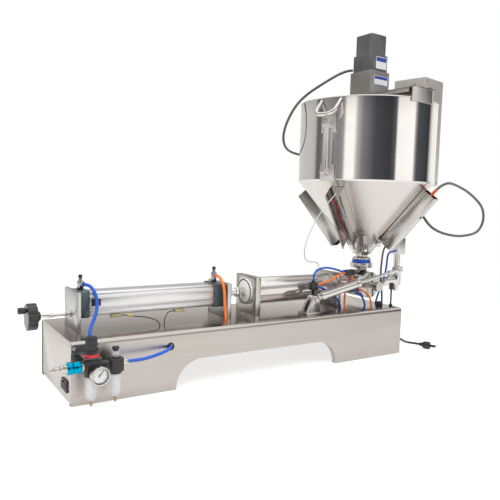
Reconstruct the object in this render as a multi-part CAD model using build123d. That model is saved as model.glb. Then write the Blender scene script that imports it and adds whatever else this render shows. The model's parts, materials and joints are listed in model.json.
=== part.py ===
from build123d import *
import os
from math import atan2, cos, degrees, hypot, pi, radians, sin, tan

# Cream filling machine, in millimetres. It is laid out from the front left bottom corner
# of its base: X along the machine to the nozzle, Y towards the back, Z up.
# When all pieces are made they move together, so that the row's origin is under the middle.

# Base: one folded sheet with an arch cut through both long sides
BASE_L, BASE_W, BASE_H = 1000.0, 275.0, 141.0
SHEET = 2.0
BEND_R = 12.0
FOOT_FLANGE = 16.0
ARCH_X0, ARCH_X1 = 248.0, 744.0
ARCH_H = 69.0
ARCH_LIP = 14.0
PANEL_GAP = 0.6
MID_Y = BASE_W / 2

# Air cylinder on the left and the product cylinder on its line
AXIS_Z = 200.5
PLATE_W = 110.0
PLATE_TOP = 233.0
REAR_PLATE_X, REAR_PLATE_T = 36.0, 9.0
FRONT_PLATE_T = 12.0
CAP_SIZE, CAP_L = 64.0, 27.0
BARREL_SIZE, BARREL_BORE = 58.0, 50.0
ROD_D = 20.0
AIR_PISTON_T = 18.0
STROKE = 225.0
BARREL_L = STROKE + 108.0
PRODUCT_PLATE_X, PRODUCT_PLATE_T = 522.0, 16.0
PRODUCT_PLATE_W, PRODUCT_PLATE_TOP = 105.0, 246.0
TUBE_OD, TUBE_BORE = 75.0, 70.0
TUBE_L = STROKE + 49.0
PRODUCT_PISTON_T = 26.0
PISTON_PROUD = 6.0
FIT = 0.05

# Handwheel on the left end plate
WHEEL_Z = 176.0
WHEEL_X0 = -64.0
WHEEL_R, WHEEL_T = 31.0, 22.0
WHEEL_HUB_R, WHEEL_HUB_T = 11.0, 8.0
SCREW_D = 8.0
CRANK_R, CRANK_L, CRANK_OFFSET = 8.0, 19.0, 20.0

# Rotary valve under the hopper, its lever and the small air cylinder that turns it
VALVE_X = 955.0
HOUSING_R, HOUSING_L = 41.0, 86.0
PLUG_R = 29.0
PORT_R = 15.0
BRANCH_R = 27.0
NECK_R = 19.0
NECK_TOP = 262.0
SPINDLE_R = 8.0
LEVER_L, LEVER_ANGLE = 89.0, 35.5
LEVER_T, LEVER_HUB_R = 10.0, 14.0
VALVE_SWING = 90.0
PEN_Y, PEN_EYE_T = 45.0, 12.0
LAYER_GAP = 0.3
PEN_PIN = (691.0, 182.0)
PEN_PIN_R = 4.0
PEN_TUBE_R, PEN_BORE_R = 13.2, 12.0
PEN_ROD_R = 5.0
PEN_BODY_L = 176.0
BRACKET_FOOT_T, LUG_T, TANG_T = 6.0, 7.0, 15.4

# Nozzle past the right end of the base
NOZZLE_X = 1115.0
NOZZLE_TIP_Z = 168.0
NOZZLE_R, NOZZLE_BORE_R = 8.0, 5.0
NOZZLE_BODY_R = 16.0
NOZZLE_NECK_R = 10.5
NOZZLE_AIR_Z0, NOZZLE_AIR_H, NOZZLE_AIR_SIZE = 290.0, 54.0, 38.0
NEEDLE_TRAVEL = 12.0

# Hopper: an inner pan in a heating jacket
HOPPER_X = 955.0
HOPPER_R = 209.0
RIM_Z, CONE_Z, CONE_END_Z = 757.0, 520.0, 300.0
JACKET_T, PAN_T = 1.5, 1.5
JACKET_GAP = 9.0
CONE_END_R = 29.0
FERRULE_R, FERRULE_T = 29.0, 4.0
GASKET_H = 13.0
CHANNEL_TURN = 23.0
CHANNEL_SIDE, CHANNEL_L = 44.0, 205.0
GAUGE_TURN = 196.0
HANDLE_W, HANDLE_BAR_R = 64.0, 6.0
BEAM_TURN = 3.0
BEAM_W, BEAM_RISE, BEAM_T, BEAM_FLANGE = 92.0, 29.0, 3.0, 14.0
BEAM_TOP = RIM_Z + BEAM_RISE
CLIP_DROP, CLIP_T = 12.0, 2.5
GEARBOX_SIZE, GEARBOX_H = 86.0, 72.0
MOTOR_SIZE, MOTOR_H, FAN_H = 79.0, 50.0, 62.0
MIXER_R = 7.5
PADDLE_T = 4.0
BOX_TURN = 12.0
BOX_GAP, BOX_W, BOX_D = 8.0, 120.0, 117.0
BOX_SIDE = -70.0
BOX_Z0, BOX_Z1 = 522.0, 876.0

# Air filter, regulator and lubricator on the front panel
UNIT_Y = -42.0
UNIT_PORT_Z = 98.0
REGULATOR_X, LUBRICATOR_X = 31.0, 84.0
UNIT_BODY = 32.0
BOWL_R, BOWL_WALL = 12.5, 2.0
GAUGE_R, GAUGE_T = 20.0, 14.0
KNOB_R, KNOB_H = 12.5, 27.0
RING_SEAT, BRACKET_T = 4.0, 2.5

# Cord diameters
MAINS_D, CABLE_D, TUBE_D, SMALL_TUBE_D, WIRE_D = 7.0, 8.0, 8.0, 6.0, 2.6
COIL_MID_R = 38.5
COIL_CENTRE = (905.0, 338.0)
GLAND_X, GLAND_Z = BASE_L - 38.0, 42.0
HOLE_PLAY, WIRE_HOLE_PLAY = 2.0, 0.8


# Small makers

def block(x0, x1, y0, y1, z0, z1):
    """A box between three pairs of faces."""
    return Pos((x0 + x1) / 2, (y0 + y1) / 2, (z0 + z1) / 2) * Box(x1 - x0, y1 - y0, z1 - z0)


def rod(radius, start, end):
    """A round bar between two points."""
    a, b = Vector(*start), Vector(*end)
    return Plane(origin=a, z_dir=b - a) * Cylinder(
        radius, (b - a).length, align=(Align.CENTER, Align.CENTER, Align.MIN))


def turned(profile, start, along):
    """A solid of revolution: (radius, length) points about an axis that leaves start."""
    outline = Plane.XZ * Polyline(*[(r, h) for r, h in profile], close=True)
    body = revolve(make_face(outline), Axis.Z)
    return Plane(origin=Vector(*start), z_dir=Vector(*along)) * body


def hexagon_bar(across, start, end):
    """A hexagonal bar between two points, of a width across its flats."""
    a, b = Vector(*start), Vector(*end)
    shape = extrude(RegularPolygon(across / 2, 6, major_radius=False), (b - a).length)
    return Plane(origin=a, z_dir=b - a) * shape


def about_hopper(turn, radial, side, z):
    """A point given by its distance out from the hopper's axis along a turned direction."""
    c, s = cos(radians(turn)), sin(radians(turn))
    return (HOPPER_X + radial * c - side * s, MID_Y + radial * s + side * c, z)


def hopper_frame(turn):
    """A location on the hopper's axis at floor level, turned about it."""
    return Pos(HOPPER_X, MID_Y, 0) * Rot(0, 0, turn)


def jacket_radius(z):
    """The jacket's outer radius at a height of its cone."""
    share = (z - CONE_END_Z) / (CONE_Z - CONE_END_Z)
    return CONE_END_R + (HOPPER_R - CONE_END_R) * share


CONE_LEAN = degrees(atan2(HOPPER_R - CONE_END_R, CONE_Z - CONE_END_Z))

# Places that follow from the sizes above
REAR_CAP_X = REAR_PLATE_X + REAR_PLATE_T
BARREL_X = REAR_CAP_X + CAP_L
FRONT_CAP_X = BARREL_X + BARREL_L
FRONT_PLATE_X = FRONT_CAP_X + CAP_L
TUBE_X = PRODUCT_PLATE_X + PRODUCT_PLATE_T
END_PLATE_X = TUBE_X + TUBE_L
VALVE_BODY_X = END_PLATE_X + PRODUCT_PLATE_T
LEVER_TIP = (VALVE_X + LEVER_L * cos(radians(LEVER_ANGLE)),
             AXIS_Z + LEVER_L * sin(radians(LEVER_ANGLE)))
PEN_REACH = hypot(LEVER_TIP[0] - PEN_PIN[0], LEVER_TIP[1] - PEN_PIN[1])
PEN_ANGLE = degrees(atan2(LEVER_TIP[1] - PEN_PIN[1], LEVER_TIP[0] - PEN_PIN[0]))
LEVER_Y0 = PEN_Y + PEN_EYE_T / 2 + LAYER_GAP
LEVER_Y1 = LEVER_Y0 + LEVER_T
GASKET_Z0 = NECK_TOP + FERRULE_T
GASKET_Z1 = GASKET_Z0 + GASKET_H
CONE_BOTTOM = GASKET_Z1 + FERRULE_T


# Tube routes, laid by hand. A hole in the deck or panel takes each one that goes inside.

REAR_TUBE = [(63.7, 129, 246), (71.04, 117, 246), (78, 106, 239.5), (82.5, 97, 226.5), (84, 89.5, 210),
             (81, 80, 191), (70, 68, 172), (58, 54, 157), (52.5, 43, 141), (52, 38, 124)]
FRONT_TUBE = [(418.5, 129, 252), (418.5, 114, 252), (419.3, 100, 246), (421.5, 91.5, 233.5), (424, 88, 218),
              (425, 87, 200), (425, 85, 181), (425, 82, 162), (425, 77, 141), (425, 75, 123)]
SUPPLY_TUBE = [(111, -42, 98), (124, -42, 98), (140, -41, 97.5), (158, -38, 98), (178, -32, 99.5),
               (199, -26, 102), (218, -17, 104.5), (230, -5, 106.5), (234, 8, 107), (235, 22, 107)]
PEN_BLUE_TUBE = [(712, 74, 230), (712, 74, 242), (718, 75.5, 254), (733, 77, 262), (756, 78, 265),
                 (782, 79.5, 262), (806, 81, 256), (824, 82, 250), (838, 82, 250)]
PEN_ORANGE_TUBE = [(722, 74, 218), (735, 74, 218), (755, 75, 220), (775, 76.5, 225.5), (794, 78, 233),
                   (811, 80, 240), (824, 80, 244), (838, 80, 244)]
DECK_BLUE_TUBE = [(722, 74, 208), (736, 74, 208), (756, 77, 202), (778, 79, 191), (798, 78, 178),
                  (812, 75, 162), (818, 73, 145), (819, 72, 126)]
DECK_ORANGE_TUBE = [(850, 81, 238), (850, 81, 226), (846, 80.5, 210), (840, 78, 194), (834, 74, 178),
                    (831, 71, 162), (831, 70, 146), (831.5, 70, 128)]
VALVE_ORANGE_TUBE = [(866, 81, 238), (866, 81, 226), (871, 79, 211), (884, 76, 199), (902, 73, 190),
                     (920, 69, 180), (933, 67.5, 164), (938, 67, 146), (939, 67, 127)]
VALVE_BLUE_TUBE = [(858, 84, 238), (858, 84, 224), (862, 82.5, 207), (873, 79, 193), (888, 76.5, 183),
                   (903, 75, 172), (914, 75, 157), (919, 75, 140), (920, 75, 124)]
MOTOR_CABLE = [(914, 172, 868), (900, 178, 866), (878, 188, 856), (850, 199, 838), (818, 212, 815),
               (785, 226, 790), (757, 241, 759), (741, 257, 722), (735, 274, 686), (741, 291, 655),
               (760, 309, 634), (790, 331, 622), (828, 350, 616), (872, 364, 613), (920, 371, 612),
               (968, 372, 613), (1014, 366, 616), (1056, 353, 618), (1094, 334, 617),
               (1123, 311, 612), (1146, 285, 606), (1161, 264, 601), (1168.9, 247.4, 598),
               (1172.2, 231.9, 598)]
LOOP_CABLE = [(1041.3, -45.4, 476.2), (1048.2, -59, 494.7), (1062, -66, 510), (1084, -66, 520),
              (1112, -60, 524), (1148, -50, 521), (1186, -42, 514), (1224, -35, 505),
              (1258, -30, 493), (1289, -26, 479), (1316, -24, 463), (1335, -22, 444),
              (1342, -21, 418), (1335, -20, 392), (1316, -19, 373), (1290, -18, 365),
              (1260, -17, 361), (1225, -15, 359), (1187, -11, 363), (1150, -5, 371),
              (1118, 3, 386), (1098, 13, 410), (1092, 27, 436), (1104, 47, 454), (1128, 71, 461),
              (1156, 96, 461), (1178, 115, 466), (1193, 128, 480), (1200, 134, 500),
              (1200, 134, 521.9)]
HEATER_CABLE = [(989.2, 57, 336.4), (984.7, 67.4, 322.5), (983.5, 72.5, 307), (983, 74.5, 290),
                (982, 75.5, 270), (981, 76, 248), (982, 76, 226), (984, 75, 204), (987, 74, 184),
                (989, 74, 164), (990, 74, 146), (990, 74, 128)]
NOZZLE_TUBE = [(1095.9, 134, 300), (1081, 134, 300), (1067, 131, 293), (1056, 124, 280),
               (1047, 116, 262), (1036, 108, 243), (1023, 101, 222), (1010, 97, 202),
               (999, 95, 182), (989, 94, 162), (982, 93, 144), (978, 93, 126)]
MAINS_LEAD = [(GLAND_X, 305, GLAND_Z), (GLAND_X, 321, GLAND_Z), (961, 339, 36.5), (956, 354, 24),
              (947, 365, 11.5), (934, 373, 4.6), (919, 376.5, 3.5), (904, 376.5, 3.5)]
MAINS_TAIL = [(905, 299.5, 7), (923, 298.5, 6.6), (943, 295.5, 5.2), (964, 291, 3.9),
              (987, 286, 3.5), (1011, 281, 3.5), (1037, 275, 3.5), (1066, 264, 3.5),
              (1094, 246, 3.5), (1121, 219, 3.5), (1138, 187, 3.5), (1143, 154, 3.5),
              (1134, 124, 3.6), (1120, 97, 4.5), (1108, 74, 6.5), (1101, 54, 9.5),
              (1099.6, 34.2, 12), (1108, 16, 12)]
PLUG_AT, PLUG_DIR = (1108.0, 16.0, 12.0), (8.4, -18.2, 0.0)
THIN_SENSOR_WIRE = [(764, 49, 482), (757, 47, 478), (746, 47, 468), (733, 53, 450), (721, 63, 427),
                    (713, 76, 401), (709, 90, 375), (709, 106, 349), (713, 121, 325),
                    (722, 135, 304), (736, 150, 287), (757, 164, 275), (780, 175, 270),
                    (800, 180.5, 269.5), (813, 183, 265), (819.5, 184, 256), (819.5, 184, 246.05)]
REED_WIRES = [
    [(150, 112, 168), (161, 112, 168), (176, 109, 164.5), (192, 105, 162.5), (208, 100, 161),
     (221, 92, 158), (231, 82, 154), (236, 76, 147), (237, 74, 136), (237, 74, 124)],
    [(292, 112, 168), (281, 112, 168), (270, 107, 164), (261, 96, 159), (253, 85, 152),
     (248, 76, 141), (247, 72, 128)],
]
PANEL_HOLE_X, PANEL_HOLE_Z = 232.0, 106.8
DECK_TUBES = [(REAR_TUBE, TUBE_D), (FRONT_TUBE, TUBE_D), (DECK_BLUE_TUBE, SMALL_TUBE_D),
              (DECK_ORANGE_TUBE, SMALL_TUBE_D), (VALVE_ORANGE_TUBE, SMALL_TUBE_D),
              (VALVE_BLUE_TUBE, SMALL_TUBE_D), (HEATER_CABLE, SMALL_TUBE_D),
              (NOZZLE_TUBE, SMALL_TUBE_D), (REED_WIRES[0], WIRE_D), (REED_WIRES[1], WIRE_D)]


def corner_radii(points):
    """For each corner, the largest arc that 0.45 of its shorter run allows."""
    radii = []
    for before, at, after in zip(points, points[1:], points[2:]):
        run_in, run_out = Vector(*at) - Vector(*before), Vector(*after) - Vector(*at)
        turn = radians(run_in.get_angle(run_out))
        radii.append(0.45 * min(run_in.length, run_out.length) / tan(turn / 2))
    return radii


def cord(name, points, diameter):
    """A cord's tube: straight runs joined by tangent arcs."""
    radii = corner_radii(points)
    print(name, "radii", [round(r) for r in radii])
    path = FilletPolyline(*[Vector(*p) for p in points], radius=radii)
    section = Plane(origin=path @ 0, z_dir=path % 0) * Circle(diameter / 2)
    tube = sweep(section, path=path)
    print(name, "length", round(path.length), "volume share",
          round(tube.volume / (path.length * pi * diameter ** 2 / 4), 4))
    return tube


def crossing(points, level):
    """Where a route's last runs cross the deck's level, or its end where it stops above it."""
    place = points[-1][:2]
    for a, b in zip(points, points[1:]):
        if (a[2] - level) * (b[2] - level) <= 0 and a[2] != b[2]:
            share = (a[2] - level) / (a[2] - b[2])
            place = (a[0] + share * (b[0] - a[0]), a[1] + share * (b[1] - a[1]))
    return place


# Base

def base_section(inset):
    """The cover's outline across the machine, moved inwards by a wall."""
    outer = Pos(MID_Y, (BASE_H - inset) / 2) * Rectangle(BASE_W - 2 * inset, BASE_H - inset)
    top = outer.vertices().group_by(Axis.Y)[-1]
    return fillet(top, max(BEND_R - inset, 1.0))


def base_cover():
    """The folded sheet: deck, front and back, with turned-in feet and arch lips."""
    section = base_section(0) - base_section(SHEET)
    cover = extrude(Plane.YZ * section, BASE_L)
    for y0, y1 in ((SHEET, FOOT_FLANGE), (BASE_W - FOOT_FLANGE, BASE_W - SHEET)):
        cover += block(0, BASE_L, y0, y1, 0, SHEET)
    arch = arch_face(0)
    cover -= extrude(Plane((0, -1, 0), x_dir=(1, 0, 0), z_dir=(0, 1, 0)) * mirror_z(arch), BASE_W + 2)
    lip = arch_face(SHEET) - arch
    for y in (SHEET, BASE_W - SHEET - ARCH_LIP):
        strip = extrude(Plane((0, y, 0), x_dir=(1, 0, 0), z_dir=(0, 1, 0)) * mirror_z(lip), ARCH_LIP)
        cover += strip
    for points, diameter in DECK_TUBES:
        x, y = crossing(points, BASE_H - SHEET / 2)
        play = HOLE_PLAY if diameter == TUBE_D else WIRE_HOLE_PLAY
        cover -= rod(diameter / 2 + play, (x, y, BASE_H - 6), (x, y, BASE_H + 3))
    cover -= rod(TUBE_D, (PANEL_HOLE_X, -5, PANEL_HOLE_Z), (PANEL_HOLE_X, 5, PANEL_HOLE_Z))
    cover -= rod(6.1, (GLAND_X, BASE_W - 6, GLAND_Z), (GLAND_X, BASE_W + 3, GLAND_Z))
    return cover


def arch_face(grow):
    """The arch's outline, a rectangle with two quarter rounds, grown by a wall."""
    wide, high = ARCH_X1 - ARCH_X0 + 2 * grow, ARCH_H + grow
    face = Pos((ARCH_X0 + ARCH_X1) / 2, high / 2) * Rectangle(wide, high)
    return fillet(face.vertices().group_by(Axis.Y)[-1], ARCH_H - 1 + grow)


def mirror_z(face):
    """Turns a face drawn with Z upwards for a plane that looks along +Y."""
    return mirror(face, about=Plane.XZ)


def end_panels():
    """Two flat end panels inside the folded cover, with the power switch's window."""
    face = base_section(SHEET + PANEL_GAP)
    feet = Pos(MID_Y, SHEET / 2) * Rectangle(BASE_W, 2 * SHEET + 2 * PANEL_GAP)
    panels = []
    for x in (1.0, BASE_L - 1.0 - SHEET):
        panel = extrude(Plane.YZ * (face - feet), SHEET)
        panels.append(Pos(x, 0, 0) * panel)
    panels[0] -= block(-5, 5, 30, 68, 24, 46)
    return panels


# Air cylinder

def cylinder_plates():
    """The two aluminium plates that carry the air cylinder on the deck."""
    y0, y1 = MID_Y - PLATE_W / 2, MID_Y + PLATE_W / 2
    rear = block(REAR_PLATE_X, REAR_CAP_X, y0, y1, BASE_H, PLATE_TOP)
    rear = chamfer(rear.edges().filter_by(Axis.X), 1.5)
    rear -= rod(SCREW_D / 2 + FIT, (REAR_PLATE_X - 1, MID_Y, WHEEL_Z), (REAR_CAP_X + 1, MID_Y, WHEEL_Z))
    front = block(FRONT_PLATE_X, FRONT_PLATE_X + FRONT_PLATE_T, y0, y1, BASE_H, PLATE_TOP)
    front = chamfer(front.edges().filter_by(Axis.X), 1.5)
    front -= rod(ROD_D / 2 + 2, (FRONT_PLATE_X - 1, MID_Y, AXIS_Z),
                 (FRONT_PLATE_X + FRONT_PLATE_T + 1, MID_Y, AXIS_Z))
    return [rear, front]


def cylinder_cap(x0, bore):
    """A cast end cap with chamfered corners, four bolt heads' recesses and a port."""
    half = CAP_SIZE / 2
    cap = block(x0, x0 + CAP_L, MID_Y - half, MID_Y + half, AXIS_Z - half, AXIS_Z + half)
    cap = fillet(cap.edges().filter_by(Axis.X), 6)
    for side in (-1, 1):
        for level in (-1, 1):
            y, z = MID_Y + side * 23, AXIS_Z + level * 23
            cap -= rod(4.5, (x0 - 1, y, z), (x0 + 6, y, z))
    cap -= rod(bore, (x0 - 1, MID_Y, AXIS_Z), (x0 + CAP_L + 1, MID_Y, AXIS_Z))
    return cap


def air_caps():
    """Rear cap, blind but for the screw's pocket, and the front cap that guides the rod."""
    rear = cylinder_cap(REAR_CAP_X, 7.0)
    rear -= rod(SCREW_D / 2 + 0.3, (REAR_CAP_X - 1, MID_Y, WHEEL_Z), (REAR_CAP_X + 17, MID_Y, WHEEL_Z))
    front = cylinder_cap(FRONT_CAP_X, ROD_D / 2 + FIT)
    return [rear, front]


def air_barrel():
    """The extruded barrel: a square with round corners, grooves on every side, and its bore."""
    section = RectangleRounded(BARREL_SIZE, BARREL_SIZE, 7)
    for turn in (0, 90, 180, 270):
        for side in (-1, 1):
            groove = Rot(0, 0, turn) * Pos(BARREL_SIZE / 2, side * 14.5) * Rectangle(3.0, 2.6)
            section -= groove
    section -= Circle(BARREL_BORE / 2)
    barrel = extrude(Plane((BARREL_X, MID_Y, AXIS_Z), x_dir=(0, 1, 0), z_dir=(1, 0, 0)) * section, BARREL_L)
    return barrel


def reed_sensors():
    """Two reed switches clipped under and beside the barrel."""
    low = AXIS_Z - BARREL_SIZE / 2
    front = MID_Y - BARREL_SIZE / 2
    sensors = [block(x, x + 26, 106, 118, low - 7, low) for x in (124, 292)]
    sensors.append(block(BARREL_X + 4, BARREL_X + 26, front - 5, front, AXIS_Z - 4, AXIS_Z + 12))
    return sensors


def flow_controls():
    """A threaded speed valve on each cap: hexagon, banjo body, and a side socket for the tube."""
    bodies = []
    for x, tube in ((REAR_CAP_X + CAP_L / 2, REAR_TUBE), (FRONT_CAP_X + CAP_L / 2, FRONT_TUBE)):
        z0 = AXIS_Z + CAP_SIZE / 2
        z1 = tube[0][2]
        body = hexagon_bar(13, (x, MID_Y, z0), (x, MID_Y, z0 + 5))
        body += rod(7.5, (x, MID_Y, z0 + 5), (x, MID_Y, z1 + 7))
        body += rod(4.2, (x, MID_Y, z1 + 7), (x, MID_Y, z1 + 14))
        start = Vector(*tube[0])
        body += rod(6.2, (x, MID_Y, z1), start)
        body -= rod(2.5 + FIT, (x, MID_Y, z1 + 2), (x, MID_Y, z1 + 15))
        bodies.append(body)
    return bodies


def flow_knob(x, z):
    """A knurled adjusting knob with its stem down in the valve."""
    return turned([(0, -10), (2.5, -10), (2.5, 0.3), (4.2, 0.3), (4.6, 1.5), (4.6, 6.5), (3.8, 8), (0, 8)],
                  (x, MID_Y, z), (0, 0, 1))


# Moving pistons

def piston_rod():
    """Air piston, rod and hexagonal coupling in one stiff piece."""
    start = BARREL_X + 2
    piston_r = BARREL_BORE / 2 - FIT
    end = PRODUCT_PLATE_X - PISTON_PROUD
    shaft = rod(piston_r, (start, MID_Y, AXIS_Z), (start + AIR_PISTON_T, MID_Y, AXIS_Z))
    shaft += rod(ROD_D / 2, (start + AIR_PISTON_T, MID_Y, AXIS_Z), (end - 30, MID_Y, AXIS_Z))
    shaft += hexagon_bar(24, (end - 30, MID_Y, AXIS_Z), (end - 18, MID_Y, AXIS_Z))
    shaft += rod(8, (end - 18, MID_Y, AXIS_Z), (end - 7, MID_Y, AXIS_Z))
    shaft += hexagon_bar(22, (end - 7, MID_Y, AXIS_Z), (end, MID_Y, AXIS_Z))
    return shaft


def product_piston():
    """The white sealing piston, grooved for two rings."""
    r = TUBE_BORE / 2 - FIT
    x = PRODUCT_PLATE_X - PISTON_PROUD
    t = PRODUCT_PISTON_T
    profile = [(0, 0), (r - 2, 0), (r, 2), (r, 7), (r - 2, 7), (r - 2, 10), (r, 10), (r, 16),
               (r - 2, 16), (r - 2, 19), (r, 19), (r, t - 1), (r - 1, t), (0, t)]
    return turned(profile, (x, MID_Y, AXIS_Z), (1, 0, 0))


def product_plates():
    """The two plates that hold the product cylinder's tube on the deck."""
    y0, y1 = MID_Y - PRODUCT_PLATE_W / 2, MID_Y + PRODUCT_PLATE_W / 2
    rear = block(PRODUCT_PLATE_X, TUBE_X, y0, y1, BASE_H, PRODUCT_PLATE_TOP)
    rear = chamfer(rear.edges().filter_by(Axis.X), 2)
    rear -= rod(TUBE_BORE / 2, (PRODUCT_PLATE_X - 1, MID_Y, AXIS_Z), (TUBE_X + 1, MID_Y, AXIS_Z))
    front = block(END_PLATE_X, VALVE_BODY_X, y0, y1, BASE_H, PRODUCT_PLATE_TOP)
    front = chamfer(front.edges().filter_by(Axis.X), 2)
    front -= rod(PORT_R, (END_PLATE_X - 1, MID_Y, AXIS_Z), (VALVE_BODY_X + 1, MID_Y, AXIS_Z))
    return [rear, front]


def product_tube():
    """The polished tube between the plates."""
    start, end = (TUBE_X, MID_Y, AXIS_Z), (TUBE_X + TUBE_L, MID_Y, AXIS_Z)
    return rod(TUBE_OD / 2, start, end) - rod(TUBE_BORE / 2, start, end)


# Handwheel

def handwheel():
    """Lobed wheel, hub and lead screw, which turn together in the left plate."""
    centre = Plane((WHEEL_X0, MID_Y, WHEEL_Z), x_dir=(0, 1, 0), z_dir=(1, 0, 0))
    face = Circle(WHEEL_R)
    for k in range(8):
        face -= Rot(0, 0, 22.5 + 45 * k) * Pos(WHEEL_R + 8.5, 0) * Circle(10.5)
    wheel = extrude(centre * face, WHEEL_T)
    wheel = fillet(wheel.edges().filter_by(GeomType.CIRCLE), 1.2)
    hub_x = WHEEL_X0 + WHEEL_T
    wheel += rod(WHEEL_HUB_R, (hub_x, MID_Y, WHEEL_Z), (hub_x + WHEEL_HUB_T, MID_Y, WHEEL_Z))
    wheel += rod(SCREW_D / 2, (hub_x, MID_Y, WHEEL_Z), (REAR_CAP_X + 15, MID_Y, WHEEL_Z))
    wheel += rod(7, (REAR_PLATE_X - 5, MID_Y, WHEEL_Z), (REAR_PLATE_X - LAYER_GAP, MID_Y, WHEEL_Z))
    pin = (WHEEL_X0 - 1, MID_Y - CRANK_OFFSET * 0.5, WHEEL_Z + CRANK_OFFSET * 0.866)
    wheel += rod(2.5, pin, (pin[0] - CRANK_L + 3, pin[1], pin[2]))
    wheel += rod(4, (pin[0] + 2, pin[1], pin[2]), pin)
    return wheel


def crank_handle():
    """The handle's sleeve, which spins on the wheel's pin."""
    pin = (WHEEL_X0 - 1, MID_Y - CRANK_OFFSET * 0.5, WHEEL_Z + CRANK_OFFSET * 0.866)
    length = CRANK_L
    profile = [(2.5 + FIT, 0.3), (CRANK_R - 2, 0.3), (CRANK_R - 1, 3), (CRANK_R, length - 4),
               (CRANK_R - 1.5, length), (0, length), (0, length - 2.5), (2.5 + FIT, length - 2.5)]
    return turned(profile, pin, (-1, 0, 0))


# Valve

def valve_body():
    """Three-way housing: branch from the cylinder, neck to the hopper, port to the nozzle."""
    y0, y1 = MID_Y - HOUSING_L / 2, MID_Y + HOUSING_L / 2
    body = rod(HOUSING_R, (VALVE_X, y0, AXIS_Z), (VALVE_X, y1, AXIS_Z))
    body += rod(BRANCH_R, (VALVE_BODY_X + 8, MID_Y, AXIS_Z), (VALVE_X, MID_Y, AXIS_Z))
    body += rod(34, (VALVE_BODY_X, MID_Y, AXIS_Z), (VALVE_BODY_X + 10, MID_Y, AXIS_Z))
    body += rod(NECK_R, (VALVE_X, MID_Y, AXIS_Z), (VALVE_X, MID_Y, NECK_TOP))
    body += turned([(0, 0), (NECK_R, 0), (FERRULE_R, 6), (FERRULE_R, 6 + FERRULE_T), (0, 6 + FERRULE_T)],
                   (VALVE_X, MID_Y, NECK_TOP - 6), (0, 0, 1))
    outlet_x = VALVE_X + HOUSING_R + 7
    body += rod(21, (VALVE_X, MID_Y, AXIS_Z), (outlet_x, MID_Y, AXIS_Z))
    body -= rod(PLUG_R + FIT, (VALVE_X, y0 + 8, AXIS_Z), (VALVE_X, y1 + 1, AXIS_Z))
    body -= rod(SPINDLE_R + FIT, (VALVE_X, y0 - 1, AXIS_Z), (VALVE_X, y0 + 9, AXIS_Z))
    body -= rod(PORT_R, (VALVE_BODY_X - 1, MID_Y, AXIS_Z), (VALVE_X, MID_Y, AXIS_Z))
    body -= rod(PORT_R, (VALVE_X, MID_Y, AXIS_Z), (VALVE_X, MID_Y, NECK_TOP + 9))
    body -= rod(PORT_R - 3, (VALVE_X, MID_Y, AXIS_Z), (outlet_x + 1, MID_Y, AXIS_Z))
    cover = turned([(0, 0), (HOUSING_R - 1, 0), (HOUSING_R - 1, 5), (HOUSING_R - 4, 8), (0, 8)],
                   (VALVE_X, y1, AXIS_Z), (0, 1, 0))
    return [body, cover]


def valve_plug():
    """The turning plug with a T of ports, and its spindle out to the front."""
    y0, y1 = MID_Y - HOUSING_L / 2, MID_Y + HOUSING_L / 2
    plug = rod(PLUG_R, (VALVE_X, y0 + 8 + LAYER_GAP, AXIS_Z), (VALVE_X, y1 - LAYER_GAP, AXIS_Z))
    plug += rod(SPINDLE_R, (VALVE_X, LEVER_Y0, AXIS_Z), (VALVE_X, y0 + 10, AXIS_Z))
    plug -= rod(PORT_R - 3, (VALVE_X - PLUG_R - 1, MID_Y, AXIS_Z), (VALVE_X, MID_Y, AXIS_Z))
    plug -= rod(PORT_R - 3, (VALVE_X, MID_Y, AXIS_Z - PLUG_R - 1), (VALVE_X, MID_Y, AXIS_Z + PLUG_R + 1))
    return plug


def valve_lever():
    """The lever: split hub on the spindle, round bar, and the pivot boss at its end."""
    mid = (LEVER_Y0 + LEVER_Y1) / 2
    x, z = LEVER_TIP
    back = (VALVE_X - 16 * cos(radians(LEVER_ANGLE)), AXIS_Z - 16 * sin(radians(LEVER_ANGLE)))
    lever = rod(LEVER_HUB_R, (VALVE_X, LEVER_Y0, AXIS_Z), (VALVE_X, LEVER_Y1 + 8, AXIS_Z))
    lever += rod(LEVER_T / 2 - 0.3, (back[0], mid, back[1]), (x, mid, z))
    lever += rod(9, (x, LEVER_Y0, z), (x, LEVER_Y1, z))
    lever += hexagon_bar(13, (x, LEVER_Y1, z), (x, LEVER_Y1 + 5, z))
    lever -= rod(SPINDLE_R, (VALVE_X, LEVER_Y0 - 1, AXIS_Z), (VALVE_X, LEVER_Y1 + 9, AXIS_Z))
    return lever


# Small air cylinder that turns the lever

def pen_point(distance, across=0.0):
    """A point on the small cylinder's axis, at a distance from its pin."""
    c, s = cos(radians(PEN_ANGLE)), sin(radians(PEN_ANGLE))
    return (PEN_PIN[0] + distance * c - across * s, PEN_Y, PEN_PIN[1] + distance * s + across * c)


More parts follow.
